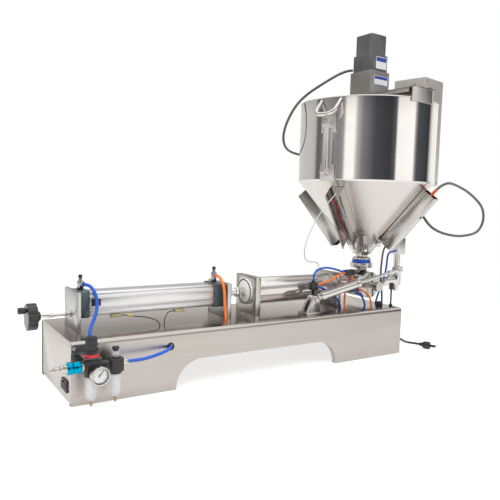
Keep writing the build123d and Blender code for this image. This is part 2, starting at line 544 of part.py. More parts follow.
def pen_bracket():
    """Clevis bracket on the deck: foot, two leaning lugs and the pivot pin."""
    gap = TANG_T / 2 + LAYER_GAP
    x, z = PEN_PIN
    y0, y1 = PEN_Y - gap - LUG_T, PEN_Y + gap + LUG_T
    foot_top = BASE_H + BRACKET_FOOT_T
    bracket = block(x - 38, x + 16, y0 - 6, y1 + 6, BASE_H, foot_top)
    tip = 11.0
    outline = make_face(Polyline((x - 32, foot_top), (x + 13, foot_top), (x + tip, z),
                                 (x, z + tip), (x - tip + 2, z + tip - 3), close=True))
    lug_face = outline + Pos(x, z) * Circle(tip)
    for y in (y0, y1 - LUG_T):
        plane = Plane((0, y + LUG_T, 0), x_dir=(1, 0, 0), z_dir=(0, -1, 0))
        bracket += extrude(plane * lug_face, LUG_T)
    bracket -= rod(PEN_PIN_R, (x, y0 - 1, z), (x, y1 + 1, z))
    pin = rod(PEN_PIN_R, (x, y0 - 1, z), (x, y1 + 1, z))
    pin += rod(6.5, (x, y0 - 3.5, z), (x, y0, z))
    pin += rod(5.5, (x, y1, z), (x, y1 + 2, z))
    return [bracket, pin]


def pen_barrel():
    """Rear tang and cap, thin tube, and the threaded front cap with its rod bore."""
    body = rod(15, pen_point(24), pen_point(40))
    body += rod(11, pen_point(12), pen_point(24)) & wide_slab(TANG_T)
    body += rod(11, (PEN_PIN[0], PEN_Y - TANG_T / 2, PEN_PIN[1]), (PEN_PIN[0], PEN_Y + TANG_T / 2, PEN_PIN[1]))
    body += rod(PEN_TUBE_R, pen_point(40), pen_point(PEN_BODY_L - 16))
    body += rod(15, pen_point(PEN_BODY_L - 16), pen_point(PEN_BODY_L - 4))
    body += rod(9, pen_point(PEN_BODY_L - 4), pen_point(PEN_BODY_L))
    body -= rod(PEN_PIN_R + FIT, (PEN_PIN[0], 0, PEN_PIN[1]), (PEN_PIN[0], 90, PEN_PIN[1]))
    body -= rod(PEN_BORE_R, pen_point(30), pen_point(PEN_BODY_L - 16))
    body -= rod(PEN_ROD_R + FIT, pen_point(40), pen_point(PEN_BODY_L + 1))
    return body


def wide_slab(thickness):
    """A slab across Y about the small cylinder's line, to flatten round stock."""
    return block(PEN_PIN[0] - 200, LEVER_TIP[0] + 200, PEN_Y - thickness / 2, PEN_Y + thickness / 2,
                 0, LEVER_TIP[1] + 350)


def pen_rod():
    """Piston, rod, coupling and the flat rod-end eye with its bolt."""
    stroke_start = PEN_BODY_L - 16 - 12 - 1
    shaft = rod(PEN_BORE_R - FIT, pen_point(stroke_start), pen_point(stroke_start + 12))
    shaft += rod(PEN_ROD_R, pen_point(stroke_start), pen_point(PEN_REACH - 8))
    shaft += hexagon_bar(14, pen_point(PEN_REACH - 48), pen_point(PEN_REACH - 40))
    shaft += rod(PEN_EYE_T / 2 - 0.3, pen_point(PEN_REACH - 40), pen_point(PEN_REACH - 8))
    x, z = LEVER_TIP
    y0, y1 = PEN_Y - PEN_EYE_T / 2, PEN_Y + PEN_EYE_T / 2
    shaft += rod(11, (x, y0, z), (x, y1, z))
    shaft += hexagon_bar(13, (x, y0 - 6, z), (x, y0, z))
    return shaft


def tube_fittings():
    """Push-in fittings on their posts, the lever's stop stud and a cable clamp on the deck."""
    foot = BASE_H
    pieces = []
    low = block(702, 722, 66, 82, 202, 224)
    low += rod(5.5, (712, 74, 223), (712, 74, 230))
    low += rod(4, (712, 74, foot), (712, 74, 203))
    low += rod(9, (712, 74, foot), (712, 74, foot + 4))
    pieces.append(low)
    high_x, high_z = VALVE_BODY_X + 10, PRODUCT_PLATE_TOP
    high = block(high_x, high_x + 34, 74, 90, high_z - 8, high_z + 8)
    high += block(VALVE_BODY_X, high_x, 86, 90, high_z - 6, high_z)
    pieces.append(high)
    stud_x, stud_z = BASE_L - 4, BASE_H + 65
    stud = rod(2.5, (stud_x, 42, BASE_H), (stud_x, 42, stud_z))
    stud += hexagon_bar(13, (stud_x, 42, stud_z - 14), (stud_x, 42, stud_z + 6))
    stud += hexagon_bar(10, (stud_x, 42, BASE_H), (stud_x, 42, BASE_H + 5))
    pieces.append(stud)
    clamp = block(BASE_L - 42, BASE_L - 26, 56, 68, BASE_H, BASE_H + 12)
    pieces.append(fillet(clamp.edges().filter_by(Axis.Z), 2))
    return pieces


# Nozzle

def nozzle_body():
    """Outlet pipe, tee, the needle's guide tube and the filling tube."""
    x = NOZZLE_X
    pipe_x = VALVE_X + HOUSING_R + 7
    body = rod(17, (pipe_x, MID_Y, AXIS_Z), (pipe_x + 6, MID_Y, AXIS_Z))
    body += rod(14, (pipe_x, MID_Y, AXIS_Z), (x, MID_Y, AXIS_Z))
    body += rod(NOZZLE_BODY_R, (x, MID_Y, AXIS_Z - 14), (x, MID_Y, AXIS_Z + 22))
    body += rod(NOZZLE_NECK_R, (x, MID_Y, AXIS_Z), (x, MID_Y, NOZZLE_AIR_Z0))
    body += rod(NOZZLE_R, (x, MID_Y, NOZZLE_TIP_Z), (x, MID_Y, AXIS_Z))
    body -= rod(NOZZLE_BORE_R + 1, (x, MID_Y, NOZZLE_TIP_Z - 1), (x, MID_Y, AXIS_Z + 16))
    body -= rod(3 + FIT, (x, MID_Y, AXIS_Z), (x, MID_Y, NOZZLE_AIR_Z0 + 1))
    body -= rod(PORT_R - 5, (pipe_x - 1, MID_Y, AXIS_Z), (x, MID_Y, AXIS_Z))
    return body


def nozzle_cylinder():
    """The small square air cylinder that lifts the nozzle's needle."""
    half = NOZZLE_AIR_SIZE / 2
    x, z0 = NOZZLE_X, NOZZLE_AIR_Z0
    body = block(x - half, x + half, MID_Y - half, MID_Y + half, z0, z0 + NOZZLE_AIR_H)
    body = fillet(body.edges().filter_by(Axis.Z), 4)
    body -= rod(13, (x, MID_Y, z0 + 8), (x, MID_Y, z0 + NOZZLE_AIR_H - 5))
    body -= rod(3 + FIT, (x, MID_Y, z0 - 1), (x, MID_Y, z0 + 9))
    lid = rod(15, (x, MID_Y, z0 + NOZZLE_AIR_H), (x, MID_Y, z0 + NOZZLE_AIR_H + 3))
    return body + lid


def nozzle_plunger():
    """Piston, stem and the cone that shuts the nozzle's tip."""
    z0 = NOZZLE_TIP_Z
    top = NOZZLE_AIR_Z0 + 10
    r = NOZZLE_BORE_R - 0.2
    return turned([(0, 0), (r - 2, 0), (r, 6), (r, 16), (3, 20), (3, top - z0), (13 - FIT, top - z0),
                   (13 - FIT, top - z0 + 12), (0, top - z0 + 12)], (NOZZLE_X, MID_Y, z0), (0, 0, 1))


# Neck between valve and hopper

def neck_gasket():
    """The blue ring between the two ferrules."""
    start = (VALVE_X, MID_Y, GASKET_Z0)
    end = (VALVE_X, MID_Y, GASKET_Z1)
    return rod(FERRULE_R, start, end) - rod(PORT_R, start, end)


def neck_clamp():
    """A two-part band clamp below the ring, closed by a wing bolt."""
    z0, z1 = NECK_TOP - 9, NECK_TOP + FERRULE_T + 2
    r = FERRULE_R + LAYER_GAP
    band = rod(r + 6, (VALVE_X, MID_Y, z0), (VALVE_X, MID_Y, z1))
    band -= rod(r, (VALVE_X, MID_Y, z0 - 1), (VALVE_X, MID_Y, z1 + 1))
    lug = block(VALVE_X - 6, VALVE_X + 6, MID_Y - r - 18, MID_Y - r - 2, z0, z1)
    band += Pos(VALVE_X, MID_Y, 0) * Rot(0, 0, -52) * Pos(-VALVE_X, -MID_Y, 0) * lug
    band += Pos(VALVE_X, MID_Y, 0) * Rot(0, 0, 118) * Pos(-VALVE_X, -MID_Y, 0) * lug
    mid = (z0 + z1) / 2
    turn = radians(-52 - 90)
    at = (VALVE_X + (r + 13) * cos(turn), MID_Y + (r + 13) * sin(turn))
    across = (-sin(turn), cos(turn))
    start = (at[0] - 16 * across[0], at[1] - 16 * across[1], mid)
    end = (at[0] + 20 * across[0], at[1] + 20 * across[1], mid)
    band += rod(3, start, end)
    band += rod(6, (at[0] + 8 * across[0], at[1] + 8 * across[1], mid), end)
    return band


# Hopper

def hopper_shell(radius, wall, rim, cone_z, end_z, end_radius):
    """A cylinder on a cone, open at both ends, with an even wall."""
    inner = radius - wall
    profile = [(radius, rim), (radius, cone_z), (end_radius, end_z), (end_radius - wall, end_z),
               (inner, cone_z + wall * 0.4), (inner, rim)]
    return turned(profile, (HOPPER_X, MID_Y, 0), (0, 0, 1))


def hopper_jacket():
    """The outer heating jacket, down to the ring that it is welded to."""
    return hopper_shell(HOPPER_R, JACKET_T, RIM_Z - 3, CONE_Z, CONE_END_Z, CONE_END_R)


def hopper_pan():
    """The inner pan: rolled rim, wall, cone, outlet tube and its ferrule."""
    r = HOPPER_R - JACKET_T - JACKET_GAP
    cone_top = CONE_Z + 6
    r_end = NECK_R
    z_end = CONE_END_Z + 6
    profile = [(HOPPER_R + 1.5, RIM_Z - 3 + 0.2), (HOPPER_R + 1.5, RIM_Z), (r - PAN_T, RIM_Z),
               (r - PAN_T, cone_top), (PORT_R, z_end + 8), (PORT_R, CONE_BOTTOM - FERRULE_T),
               (FERRULE_R, CONE_BOTTOM - FERRULE_T), (FERRULE_R, CONE_BOTTOM), (r_end, CONE_BOTTOM + 5),
               (r_end, z_end + 4), (r, cone_top - 1.5), (r, RIM_Z - 3 + 0.2)]
    return turned(profile, (HOPPER_X, MID_Y, 0), (0, 0, 1))


def neck_ring():
    """The ring that closes the jacket's foot onto the pan's outlet."""
    return turned([(NECK_R, CONE_END_Z - 4), (CONE_END_R, CONE_END_Z - 4), (CONE_END_R, CONE_END_Z),
                   (NECK_R, CONE_END_Z)], (HOPPER_X, MID_Y, 0), (0, 0, 1))


def heater_channels():
    """Four square channels down the cone, which cover the heating rods and their wires."""
    channels = []
    side = CHANNEL_SIDE
    for k in range(4):
        turn = CHANNEL_TURN + 90 * k
        tube = Rectangle(side, side) - Rectangle(side - 3, side - 3)
        if k == 2:
            tube -= Pos(side / 2, 0) * Rectangle(side, side - 12)
        z_mid = (CONE_Z + CONE_END_Z) / 2 - 2
        out = jacket_radius(z_mid) + (side / 2 + 0.2) / cos(radians(CONE_LEAN))
        lean = hopper_frame(turn) * Pos(out, 0, z_mid) * Rot(0, CONE_LEAN, 0)
        channels.append(lean * Pos(0, 0, -CHANNEL_L / 2) * extrude(tube, CHANNEL_L))
    return channels


def level_gauge():
    """Plate with two banjo bolts and the sight tube between them, on the jacket's left."""
    frame = hopper_frame(GAUGE_TURN)
    face = HOPPER_R + LAYER_GAP
    plate = block(face, face + 5, -24, 24, 517, 712)
    plate -= block(face - 1, face + 6, -40, -15, 566, 655)
    plate -= block(face - 1, face + 6, 15, 40, 566, 655)
    pieces = plate
    for z in (543, 677):
        pieces += rod(11, (face + 5, 0, z), (face + 22, 0, z))
        pieces += hexagon_bar(17, (face + 22, 0, z), (face + 29, 0, z))
    glass = rod(8, (face + 14, 0, 551), (face + 14, 0, 669))
    return frame * (pieces + glass - rod(5, (face + 14, 0, 545), (face + 14, 0, 675)))


def lifting_handle(turn):
    """A round bar bent to a loop, which leans out and down from its two welds below the rim."""
    weld_x, weld_z = HOPPER_R - 7, RIM_Z - 8
    low_x, low_z = HOPPER_R + 34, RIM_Z - 54
    half = HANDLE_W / 2
    path = FilletPolyline((weld_x, -half, weld_z), (low_x, -half, low_z), (low_x, half, low_z),
                          (weld_x, half, weld_z), radius=24)
    bar = sweep(Plane(origin=path @ 0, z_dir=path % 0) * Circle(HANDLE_BAR_R), path=path)
    return hopper_frame(turn) * bar - jacket_solid()


def jacket_fittings():
    """Two lifting handles, the drain stub and two sensor sockets welded to the jacket."""
    pieces = [lifting_handle(GAUGE_TURN), lifting_handle(GAUGE_TURN - 150)]
    for turn, z, r, length in ((232, 352, 9.5, 46), (262, 345, 6, 20), (318, 345, 6, 20)):
        base = jacket_radius(z) + 0.3
        start = about_hopper(turn, base, 0, z)
        drop = -0.9 if length > 30 else -0.5
        end = about_hopper(turn, base + length * 0.62, 0, z + drop * length)
        stub = rod(r, start, end)
        tail = Vector(*end) + (Vector(*end) - Vector(*start)).normalized() * 7
        stub += rod(r + 1.5, end, tail)
        cut = jacket_solid()
        pieces.append(stub - cut)
    return pieces


def jacket_solid():
    """The jacket's outer form as a solid, to fit what is welded on it."""
    return turned([(0, RIM_Z), (HOPPER_R + 0.2, RIM_Z), (HOPPER_R + 0.2, CONE_Z), (CONE_END_R + 0.2, CONE_END_Z),
                   (0, CONE_END_Z)], (HOPPER_X, MID_Y, 0), (0, 0, 1))


def motor_beam():
    """Inverted channel across the rim, on two curved clips that hook over it."""
    half = BEAM_W / 2
    reach = HOPPER_R + 2.2 + CLIP_T
    beam = block(-half, half, -reach, reach, BEAM_TOP - BEAM_T, BEAM_TOP)
    for side in (-1, 1):
        x0, x1 = sorted((side * half, side * (half - BEAM_T)))
        beam += block(x0, x1, -reach + 20, reach - 20, BEAM_TOP - BEAM_FLANGE, BEAM_TOP)
    clip_r, clip_low = HOPPER_R + 1.5 + LAYER_GAP, RIM_Z - CLIP_DROP
    span = block(-half, half, -reach, reach, clip_low - 1, BEAM_TOP)
    ring = rod(clip_r + CLIP_T, (0, 0, clip_low), (0, 0, BEAM_TOP - BEAM_T))
    beam += (ring - rod(clip_r, (0, 0, clip_low - 1), (0, 0, BEAM_TOP))) & span
    seat = rod(clip_r, (0, 0, RIM_Z + LAYER_GAP), (0, 0, RIM_Z + 3.3))
    beam += (seat - rod(HOPPER_R - 22, (0, 0, RIM_Z), (0, 0, BEAM_TOP))) & span
    for y in (-reach + 16, reach - 16):
        for x in (-half + 12, half - 12):
            beam += hexagon_bar(13, (x, y, BEAM_TOP), (x, y, BEAM_TOP + 6))
    beam -= rod(MIXER_R + 3, (0, 0, BEAM_TOP - 5), (0, 0, BEAM_TOP + 1))
    return hopper_frame(BEAM_TURN) * beam


def gearbox():
    """Square gear head that stands on the beam."""
    half = GEARBOX_SIZE / 2
    box = block(-half, half, -half, half, BEAM_TOP, BEAM_TOP + GEARBOX_H)
    box = chamfer(box.edges().filter_by(Axis.Z), 3)
    box -= rod(MIXER_R + FIT, (0, 0, BEAM_TOP - 1), (0, 0, BEAM_TOP + 40))
    return hopper_frame(BEAM_TURN) * box


def motor():
    """Motor body, ribbed round its sides, and the fan cowl on top."""
    half = MOTOR_SIZE / 2
    z0 = BEAM_TOP + GEARBOX_H
    body = block(-half, half, -half, half, z0, z0 + MOTOR_H)
    body = chamfer(body.edges().filter_by(Axis.Z), 7)
    for k in range(-2, 3):
        y = k * 13.0
        for side in (-1, 1):
            body -= block(side * half - 2, side * half + 2, y - 3, y + 3, z0 + 6, z0 + MOTOR_H + 1)
    cowl_half = half - 4
    cowl = block(-cowl_half, cowl_half, -cowl_half, cowl_half, z0 + MOTOR_H, z0 + MOTOR_H + FAN_H)
    cowl = chamfer(cowl.edges().filter_by(Axis.Z), 8)
    cowl = fillet(cowl.faces().sort_by(Axis.Z)[-1].edges(), 4)
    return hopper_frame(BEAM_TURN) * (body + cowl)


def mixer():
    """Drive shaft with a scraper frame that follows the pan, and two cross bars."""
    r = HOPPER_R - JACKET_T - JACKET_GAP - PAN_T - 8
    low = CONE_END_Z + 40
    shaft = rod(MIXER_R, (0, 0, low), (0, 0, BEAM_TOP + 38))
    slope_x = r - 6
    foot_x = 30.0
    outline = Polyline((-slope_x, 715), (-slope_x, CONE_Z + 16), (-foot_x, low), (foot_x, low),
                       (slope_x, CONE_Z + 16), (slope_x, 715), (slope_x - 16, 715),
                       (slope_x - 16, CONE_Z + 22), (foot_x - 6, low + 16), (-foot_x + 6, low + 16),
                       (-slope_x + 16, CONE_Z + 22), (-slope_x + 16, 715), close=True)
    plane = Plane((0, PADDLE_T / 2, 0), x_dir=(1, 0, 0), z_dir=(0, -1, 0))
    frame = extrude(plane * make_face(outline), PADDLE_T)
    for z in (560, 640):
        frame += block(-slope_x + 4, slope_x - 4, -PADDLE_T / 2, PADDLE_T / 2, z, z + 14)
    return hopper_frame(BEAM_TURN + 90) * (shaft + frame)


def control_box():
    """Sheet box for heat and mixer controls, on two stand-offs from the jacket."""
    x0 = HOPPER_R + BOX_GAP
    y0 = BOX_SIDE
    box = block(x0, x0 + BOX_W, y0, y0 + BOX_D, BOX_Z0, BOX_Z1)
    box = fillet(box.edges().filter_by(Axis.Z), 2.5)
    plate = block(x0 + BOX_W, x0 + BOX_W + 1.5, y0 + 8, y0 + BOX_D - 8, BOX_Z0 + 10, BOX_Z1 - 10)
    box += plate
    standoffs = []
    solid = Pos(-HOPPER_X, -MID_Y, 0) * jacket_solid()
    for z in (570, 700):
        strap = block(HOPPER_R - 14, x0 + 0.0, -20, 20, z, z + 24) - solid
        standoffs.append(strap)
    frame = hopper_frame(BOX_TURN)
    return [frame * box] + [frame * s for s in standoffs]


def speed_knob():
    """The mixer's speed knob on the box's far face."""
    x = HOPPER_R + BOX_GAP + BOX_W + 1.5 + LAYER_GAP
    y = BOX_SIDE + BOX_D / 2
    knob = turned([(0, 0), (15, 0), (15, 3), (12, 4), (11, 15), (9, 17), (0, 17)], (x, y, 800), (1, 0, 0))
    knob += block(x + 16, x + 18, y - 1, y + 1, 803, 810)
    return hopper_frame(BOX_TURN) * knob


# Air filter, regulator and lubricator

def air_unit_bracket():
    """Black angle on the front panel that the lock ring clamps, its bolts, and the joint's strap."""
    z = UNIT_PORT_Z + 14 + RING_SEAT
    plate = block(2, 60, -3, 0, z, z + 20)
    plate = chamfer(plate.edges().filter_by(Axis.Y), 3)
    shelf = block(REGULATOR_X - 17, REGULATOR_X + 17, UNIT_Y - 16, -1, z, z + BRACKET_T)
    shelf -= rod(12 + 0.3, (REGULATOR_X, UNIT_Y, z - 1), (REGULATOR_X, UNIT_Y, z + 5))
    bolts = [hexagon_bar(9, (x, -7, z + 12), (x, -3, z + 12)) for x in (7, 55)]
    strap = block(LUBRICATOR_X - 8, LUBRICATOR_X + 8, UNIT_Y + UNIT_BODY / 2 - 1, 0, 92, 104)
    return [plate + shelf + bolts[0] + bolts[1], strap]


def regulator_body():
    """Filter and regulator body with its bonnet, ports and lower socket."""
    x, y, z = REGULATOR_X, UNIT_Y, UNIT_PORT_Z
    half = UNIT_BODY / 2
    body = block(x - half, x + half, y - half, y + half, z - 16, z + 14)
    body = fillet(body.edges().filter_by(Axis.Z), 5)
    top = RING_SEAT + BRACKET_T + 0.1
    body += turned([(0, 0), (15.5, 0), (15.5, RING_SEAT), (12, RING_SEAT), (12, top), (17, top),
                    (17, top + 6), (12, top + 8), (10, 22), (0, 22)], (x, y, z + 14), (0, 0, 1))
    body += rod(15, (x, y, z - 22), (x, y, z - 16))
    body += rod(9, (x + half, y, z), (x + half + 4, y, z))
    return body


def lubricator_body():
    """Lubricator body, its joint to the regulator, oil dome seat and outlet."""
    x, y, z = LUBRICATOR_X, UNIT_Y, UNIT_PORT_Z
    half = UNIT_BODY / 2 - 1
    body = block(x - half, x + half, y - half, y + half, z - 16, z + 12)
    body = fillet(body.edges().filter_by(Axis.Z), 5)
    body += rod(9, (REGULATOR_X + UNIT_BODY / 2 + 4, y, z), (x - half, y, z))
    body += rod(13, (x, y, z - 22), (x, y, z - 16))
    body += turned([(0, 0), (9, 0), (9, 3), (8, 14), (5, 15), (5, 17), (7.5, 18), (7.5, 24), (0, 24)],
                   (x, y, z + 12), (0, 0, 1))
    body += hexagon_bar(14, (x + half, y, z), (SUPPLY_TUBE[0][0] - 5, y, z))
    body += rod(6, (SUPPLY_TUBE[0][0] - 5, y, z), (SUPPLY_TUBE[0][0], y, z))
    return body


def air_bowls():
    """The two clear bowls, thin walled, each with its drain."""
    bowls = []
    z1 = UNIT_PORT_Z - 22
    for x, r, z0 in ((REGULATOR_X, BOWL_R, 22), (LUBRICATOR_X, BOWL_R - 1, 24)):
        w = BOWL_WALL
        bowl = turned([(0, z0), (r * 0.66, z0), (r, z0 + 8), (r, z1), (r - w, z1), (r - w, z0 + 9),
                       (r * 0.6, z0 + w + 1), (0, z0 + w + 1)], (x, UNIT_Y, 0), (0, 0, 1))
        bowl += turned([(0, z0 - 12), (2.6, z0 - 12), (4, z0 - 8), (4, z0), (0, z0)], (x, UNIT_Y, 0), (0, 0, 1))
        bowls.append(bowl)
    return bowls


def regulator_knob():
    """The pressure knob, with the lock ring's collar below it."""
    z = UNIT_PORT_Z + 14 + 22 + LAYER_GAP
    r, h = KNOB_R, KNOB_H
    face = Circle(r)
    for k in range(12):
        face -= Rot(0, 0, 30 * k) * Pos(r + 0.6, 0) * Circle(1.4)
    knob = extrude(face, h - 4)
    knob += Pos(0, 0, h - 4) * extrude(Circle(r - 1.5), 3)
    return Pos(REGULATOR_X, UNIT_Y, z) * knob


GAUGE_AT = (40.0, -66.0, 84.0)


def pressure_gauge():
    """The gauge's case, open at the dial, on a short stem from the regulator's front."""
    x, y, z = GAUGE_AT
    case = turned([(0, 0), (GAUGE_R - 2, 0), (GAUGE_R, 2), (GAUGE_R, GAUGE_T), (GAUGE_R - 2, GAUGE_T),
                   (GAUGE_R - 2, 6), (0, 6)], (x, y, z), (0, -1, 0))
    stem = hexagon_bar(12, (x, y, z), (x, UNIT_Y - UNIT_BODY / 2, z))
    return case + stem + rod(1.5, (x, y - 5, z), (x, y - 10, z))


def gauge_needle():
    """The needle on its hub, turned up to the right as it stands."""
    x, y, z = GAUGE_AT
    y0 = y - 6.4
    needle = rod(2.6, (x, y0, z), (x, y0 - 1.4, z))
    blade = block(x - 0.6, x + 0.6, y0 - 1.4, y0 - 0.2, z - 4, z + 13)
    needle += Pos(x, 0, z) * Rot(0, 38, 0) * Pos(-x, 0, -z) * blade
    return needle - rod(1.5 + FIT, (x, y, z), (x, y - 12, z))


SLEEVE_X0, SLEEVE_X1 = -20.0, 9.0
SLEEVE_TRAVEL = 8.0


def slide_valve():
    """The hand slide valve's core with its ends, and the quick plug for the air line."""
    y, z = UNIT_Y, UNIT_PORT_Z
    left = SLEEVE_X0 - SLEEVE_TRAVEL - 1
    core = rod(9, (SLEEVE_X0 - SLEEVE_TRAVEL - 1, y, z), (REGULATOR_X - UNIT_BODY / 2, y, z))
    core += turned([(0, 0), (8, 0), (8, 5), (5.5, 6), (5.5, 14), (6.5, 15), (6.5, 18), (4, 19), (4, 24), (0, 24)],
                   (left, y, z), (-1, 0, 0))
    core += rod(11, (SLEEVE_X1 + 1, y, z), (SLEEVE_X1 + 5, y, z))
    core -= rod(2.5, (left - 25, y, z), (REGULATOR_X - UNIT_BODY / 2 + 1, y, z))
    return core


def slide_sleeve():
    """The sleeve that slides to shut or open the air."""
    y, z = UNIT_Y, UNIT_PORT_Z
    length = SLEEVE_X1 - SLEEVE_X0
    r = 13.5
    return turned([(9 + FIT, 0), (r - 1, 0), (r, 1), (r, 6), (r - 2.5, 9), (r - 2.5, 12), (r, 14),
                   (r, length - 14), (r - 2.5, length - 12), (r - 2.5, length - 9), (r, length - 6),
                   (r, length - 1), (r - 1, length), (9 + FIT, length)], (SLEEVE_X0, y, z), (1, 0, 0))


# Fittings on the panels

def panel_fittings():
    """The power switch's frame on the left panel and the mains gland on the back."""
    frame = block(-2.5, 1.0, 28, 70, 22, 48) - block(-3, 2, 33, 65, 26.5, 43.5)
    frame += block(1.0, 12.0, 31, 67, 25, 45) - block(0, 10, 33, 65, 26.5, 43.5)
    gland = hexagon_bar(17, (GLAND_X, BASE_W, GLAND_Z), (GLAND_X, BASE_W + 7, GLAND_Z))
    gland += turned([(0, 7), (8, 7), (7, 18), (4.6, 30), (0, 30)], (GLAND_X, BASE_W, GLAND_Z), (0, 1, 0))
    gland += rod(6, (GLAND_X, BASE_W - 10, GLAND_Z), (GLAND_X, BASE_W, GLAND_Z))
    return [frame, gland]


ROCKER_TILT = 9.0


def switch_rocker():
    """The rocker, tilted to off, on its cross axle."""
    y, z = 49.0, 35.0
    body = block(-4, 7, y - 14.6, y + 14.6, z - 7.6, z + 7.6)
    return Pos(2, y, z) * Rot(0, 0, ROCKER_TILT) * Pos(-2, -y, -z) * body


def air_valve_block():
    """Manifold with two spool valves, bolted under the deck."""
    top = BASE_H - SHEET
    y0 = MID_Y - 45
    pieces = block(470, 610, y0, y0 + 90, top - 14, top)
    for x in (482, 548):
        pieces += block(x, x + 50, y0 + 8, y0 + 82, top - 52, top - 14)
        pieces += block(x + 10, x + 40, y0 - 18, y0 + 8, top - 46, top - 20)
    return pieces


# Cords that lie on the floor behind the machine

def mains_coil():
    """The put-away length, a round coil of four turns as one solid."""
    x, y = COIL_CENTRE
    inner, outer = COIL_MID_R - MAINS_D, COIL_MID_R + MAINS_D
    ring = rod(outer, (x, y, 0), (x, y, 2 * MAINS_D)) - rod(inner, (x, y, -1), (x, y, 2 * MAINS_D + 1))
    return fillet(ring.edges(), 3)


def mains_plug():
    """Round two-pin plug lying on the floor, with its grip and pins."""
    start, along = Vector(*PLUG_AT), Vector(*PLUG_DIR).normalized()
    body = turned([(0, 0), (5.5, 0), (6.5, 8), (10, 12), (11.8, 16), (11.8, 30), (10.5, 33), (0, 33)],
                  start, along)
    side = Vector(0, 0, 1).cross(along).normalized()
    for shift in (-6.5, 6.5):
        at = start + along * 32 + side * shift
        body += rod(2.4, at, at + along * 19)
    return body


def all_parts():
    """Every node by name, laid out from the base's corner."""
    parts = {
        "base_cover": base_cover(),
        "end_panels": end_panels(),
        "panel_fittings": panel_fittings(),
        "switch_rocker": switch_rocker(),
        "air_valve_block": air_valve_block(),
        "cylinder_plates": cylinder_plates(),
        "air_caps": air_caps(),
        "air_barrel": air_barrel(),
        "reed_sensors": reed_sensors(),
        "flow_controls": flow_controls(),
        "rear_flow_knob": flow_knob(REAR_CAP_X + CAP_L / 2, REAR_TUBE[0][2] + 14),
        "front_flow_knob": flow_knob(FRONT_CAP_X + CAP_L / 2, FRONT_TUBE[0][2] + 14),
        "piston_rod": piston_rod(),
        "product_piston": product_piston(),
        "product_plates": product_plates(),
        "product_tube": product_tube(),
        "handwheel": handwheel(),
        "crank_handle": crank_handle(),
        "valve_body": valve_body(),
        "valve_plug": valve_plug(),
        "valve_lever": valve_lever(),
        "pen_bracket": pen_bracket(),
        "pen_barrel": pen_barrel(),
        "pen_rod": pen_rod(),
        "tube_fittings": tube_fittings(),
        "nozzle_body": nozzle_body(),
        "nozzle_cylinder": nozzle_cylinder(),
        "nozzle_plunger": nozzle_plunger(),
        "neck_gasket": neck_gasket(),
        "neck_clamp": neck_clamp(),
        "hopper_jacket": [hopper_jacket(), neck_ring()],
        "hopper_pan": hopper_pan(),
        "heater_channels": heater_channels(),
        "level_gauge": level_gauge(),
        "jacket_fittings": jacket_fittings(),
        "motor_beam": motor_beam(),
        "gearbox": gearbox(),
        "motor": motor(),
        "mixer": mixer(),
        "control_box": control_box(),
        "speed_knob": speed_knob(),
        "air_unit_bracket": air_unit_bracket(),
        "regulator_body": regulator_body(),
        "lubricator_body": lubricator_body(),
        "air_bowls": air_bowls(),
        "regulator_knob": regulator_knob(),
        "pressure_gauge": pressure_gauge(),
        "gauge_needle": gauge_needle(),
        "slide_valve": slide_valve(),
        "slide_sleeve": slide_sleeve(),
    }
    cords = {
        "air_tubes": [cord("rear air tube", REAR_TUBE, TUBE_D),
                      cord("front air tube", FRONT_TUBE, TUBE_D)],
        "supply_tube": cord("supply_tube", SUPPLY_TUBE, TUBE_D),
        "pen_tubes": [cord("pen blue", PEN_BLUE_TUBE, SMALL_TUBE_D),
                      cord("pen orange", PEN_ORANGE_TUBE, SMALL_TUBE_D)],
        "deck_tubes": [cord("deck blue", DECK_BLUE_TUBE, SMALL_TUBE_D),
                       cord("deck orange", DECK_ORANGE_TUBE, SMALL_TUBE_D),
                       cord("valve orange", VALVE_ORANGE_TUBE, SMALL_TUBE_D),
                       cord("valve blue", VALVE_BLUE_TUBE, SMALL_TUBE_D),
                       cord("heater cable", HEATER_CABLE, SMALL_TUBE_D),
                       cord("nozzle tube", NOZZLE_TUBE, SMALL_TUBE_D)],
        "motor_cable": cord("motor_cable", MOTOR_CABLE, CABLE_D),
        "loop_cable": cord("loop_cable", LOOP_CABLE, CABLE_D),
        "sensor_wires": [cord("thin sensor wire", THIN_SENSOR_WIRE, WIRE_D)]
        + [cord("reed wire", wire, WIRE_D) for wire in REED_WIRES],
        "mains_lead": [cord("mains lead", MAINS_LEAD, MAINS_D), cord("mains tail", MAINS_TAIL, MAINS_D)],
        "mains_coil": mains_coil(),
        "mains_plug": mains_plug(),
    }
    return parts, cords


def as_compound(piece):
    """One compound of all solids of a node."""
    pieces = piece if isinstance(piece, list) else [piece]
    return Compound([solid for p in pieces for solid in p.solids()])


def main():
    os.makedirs("parts", exist_ok=True)
    parts, cords = all_parts()
    nodes = {name: as_compound(piece) for name, piece in parts.items()}
    size = Compound([solid for node in nodes.values() for solid in node.solids()]).bounding_box()
    shift = Vector(-(size.min.X + size.max.X) / 2, -(size.min.Y + size.max.Y) / 2, 0)
    print("origin shift", round(shift.X, 4), round(shift.Y, 4), "size", size.size)
    nodes.update({name: as_compound(piece) for name, piece in cords.items()})
    for name, node in nodes.items():
        export_step(Pos(shift.X, shift.Y, 0) * node, "parts/" + name + ".step")


main()
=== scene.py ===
import bmesh
import bpy
import json
from math import cos, hypot, pi, radians, sin
from mathutils import Matrix, Vector


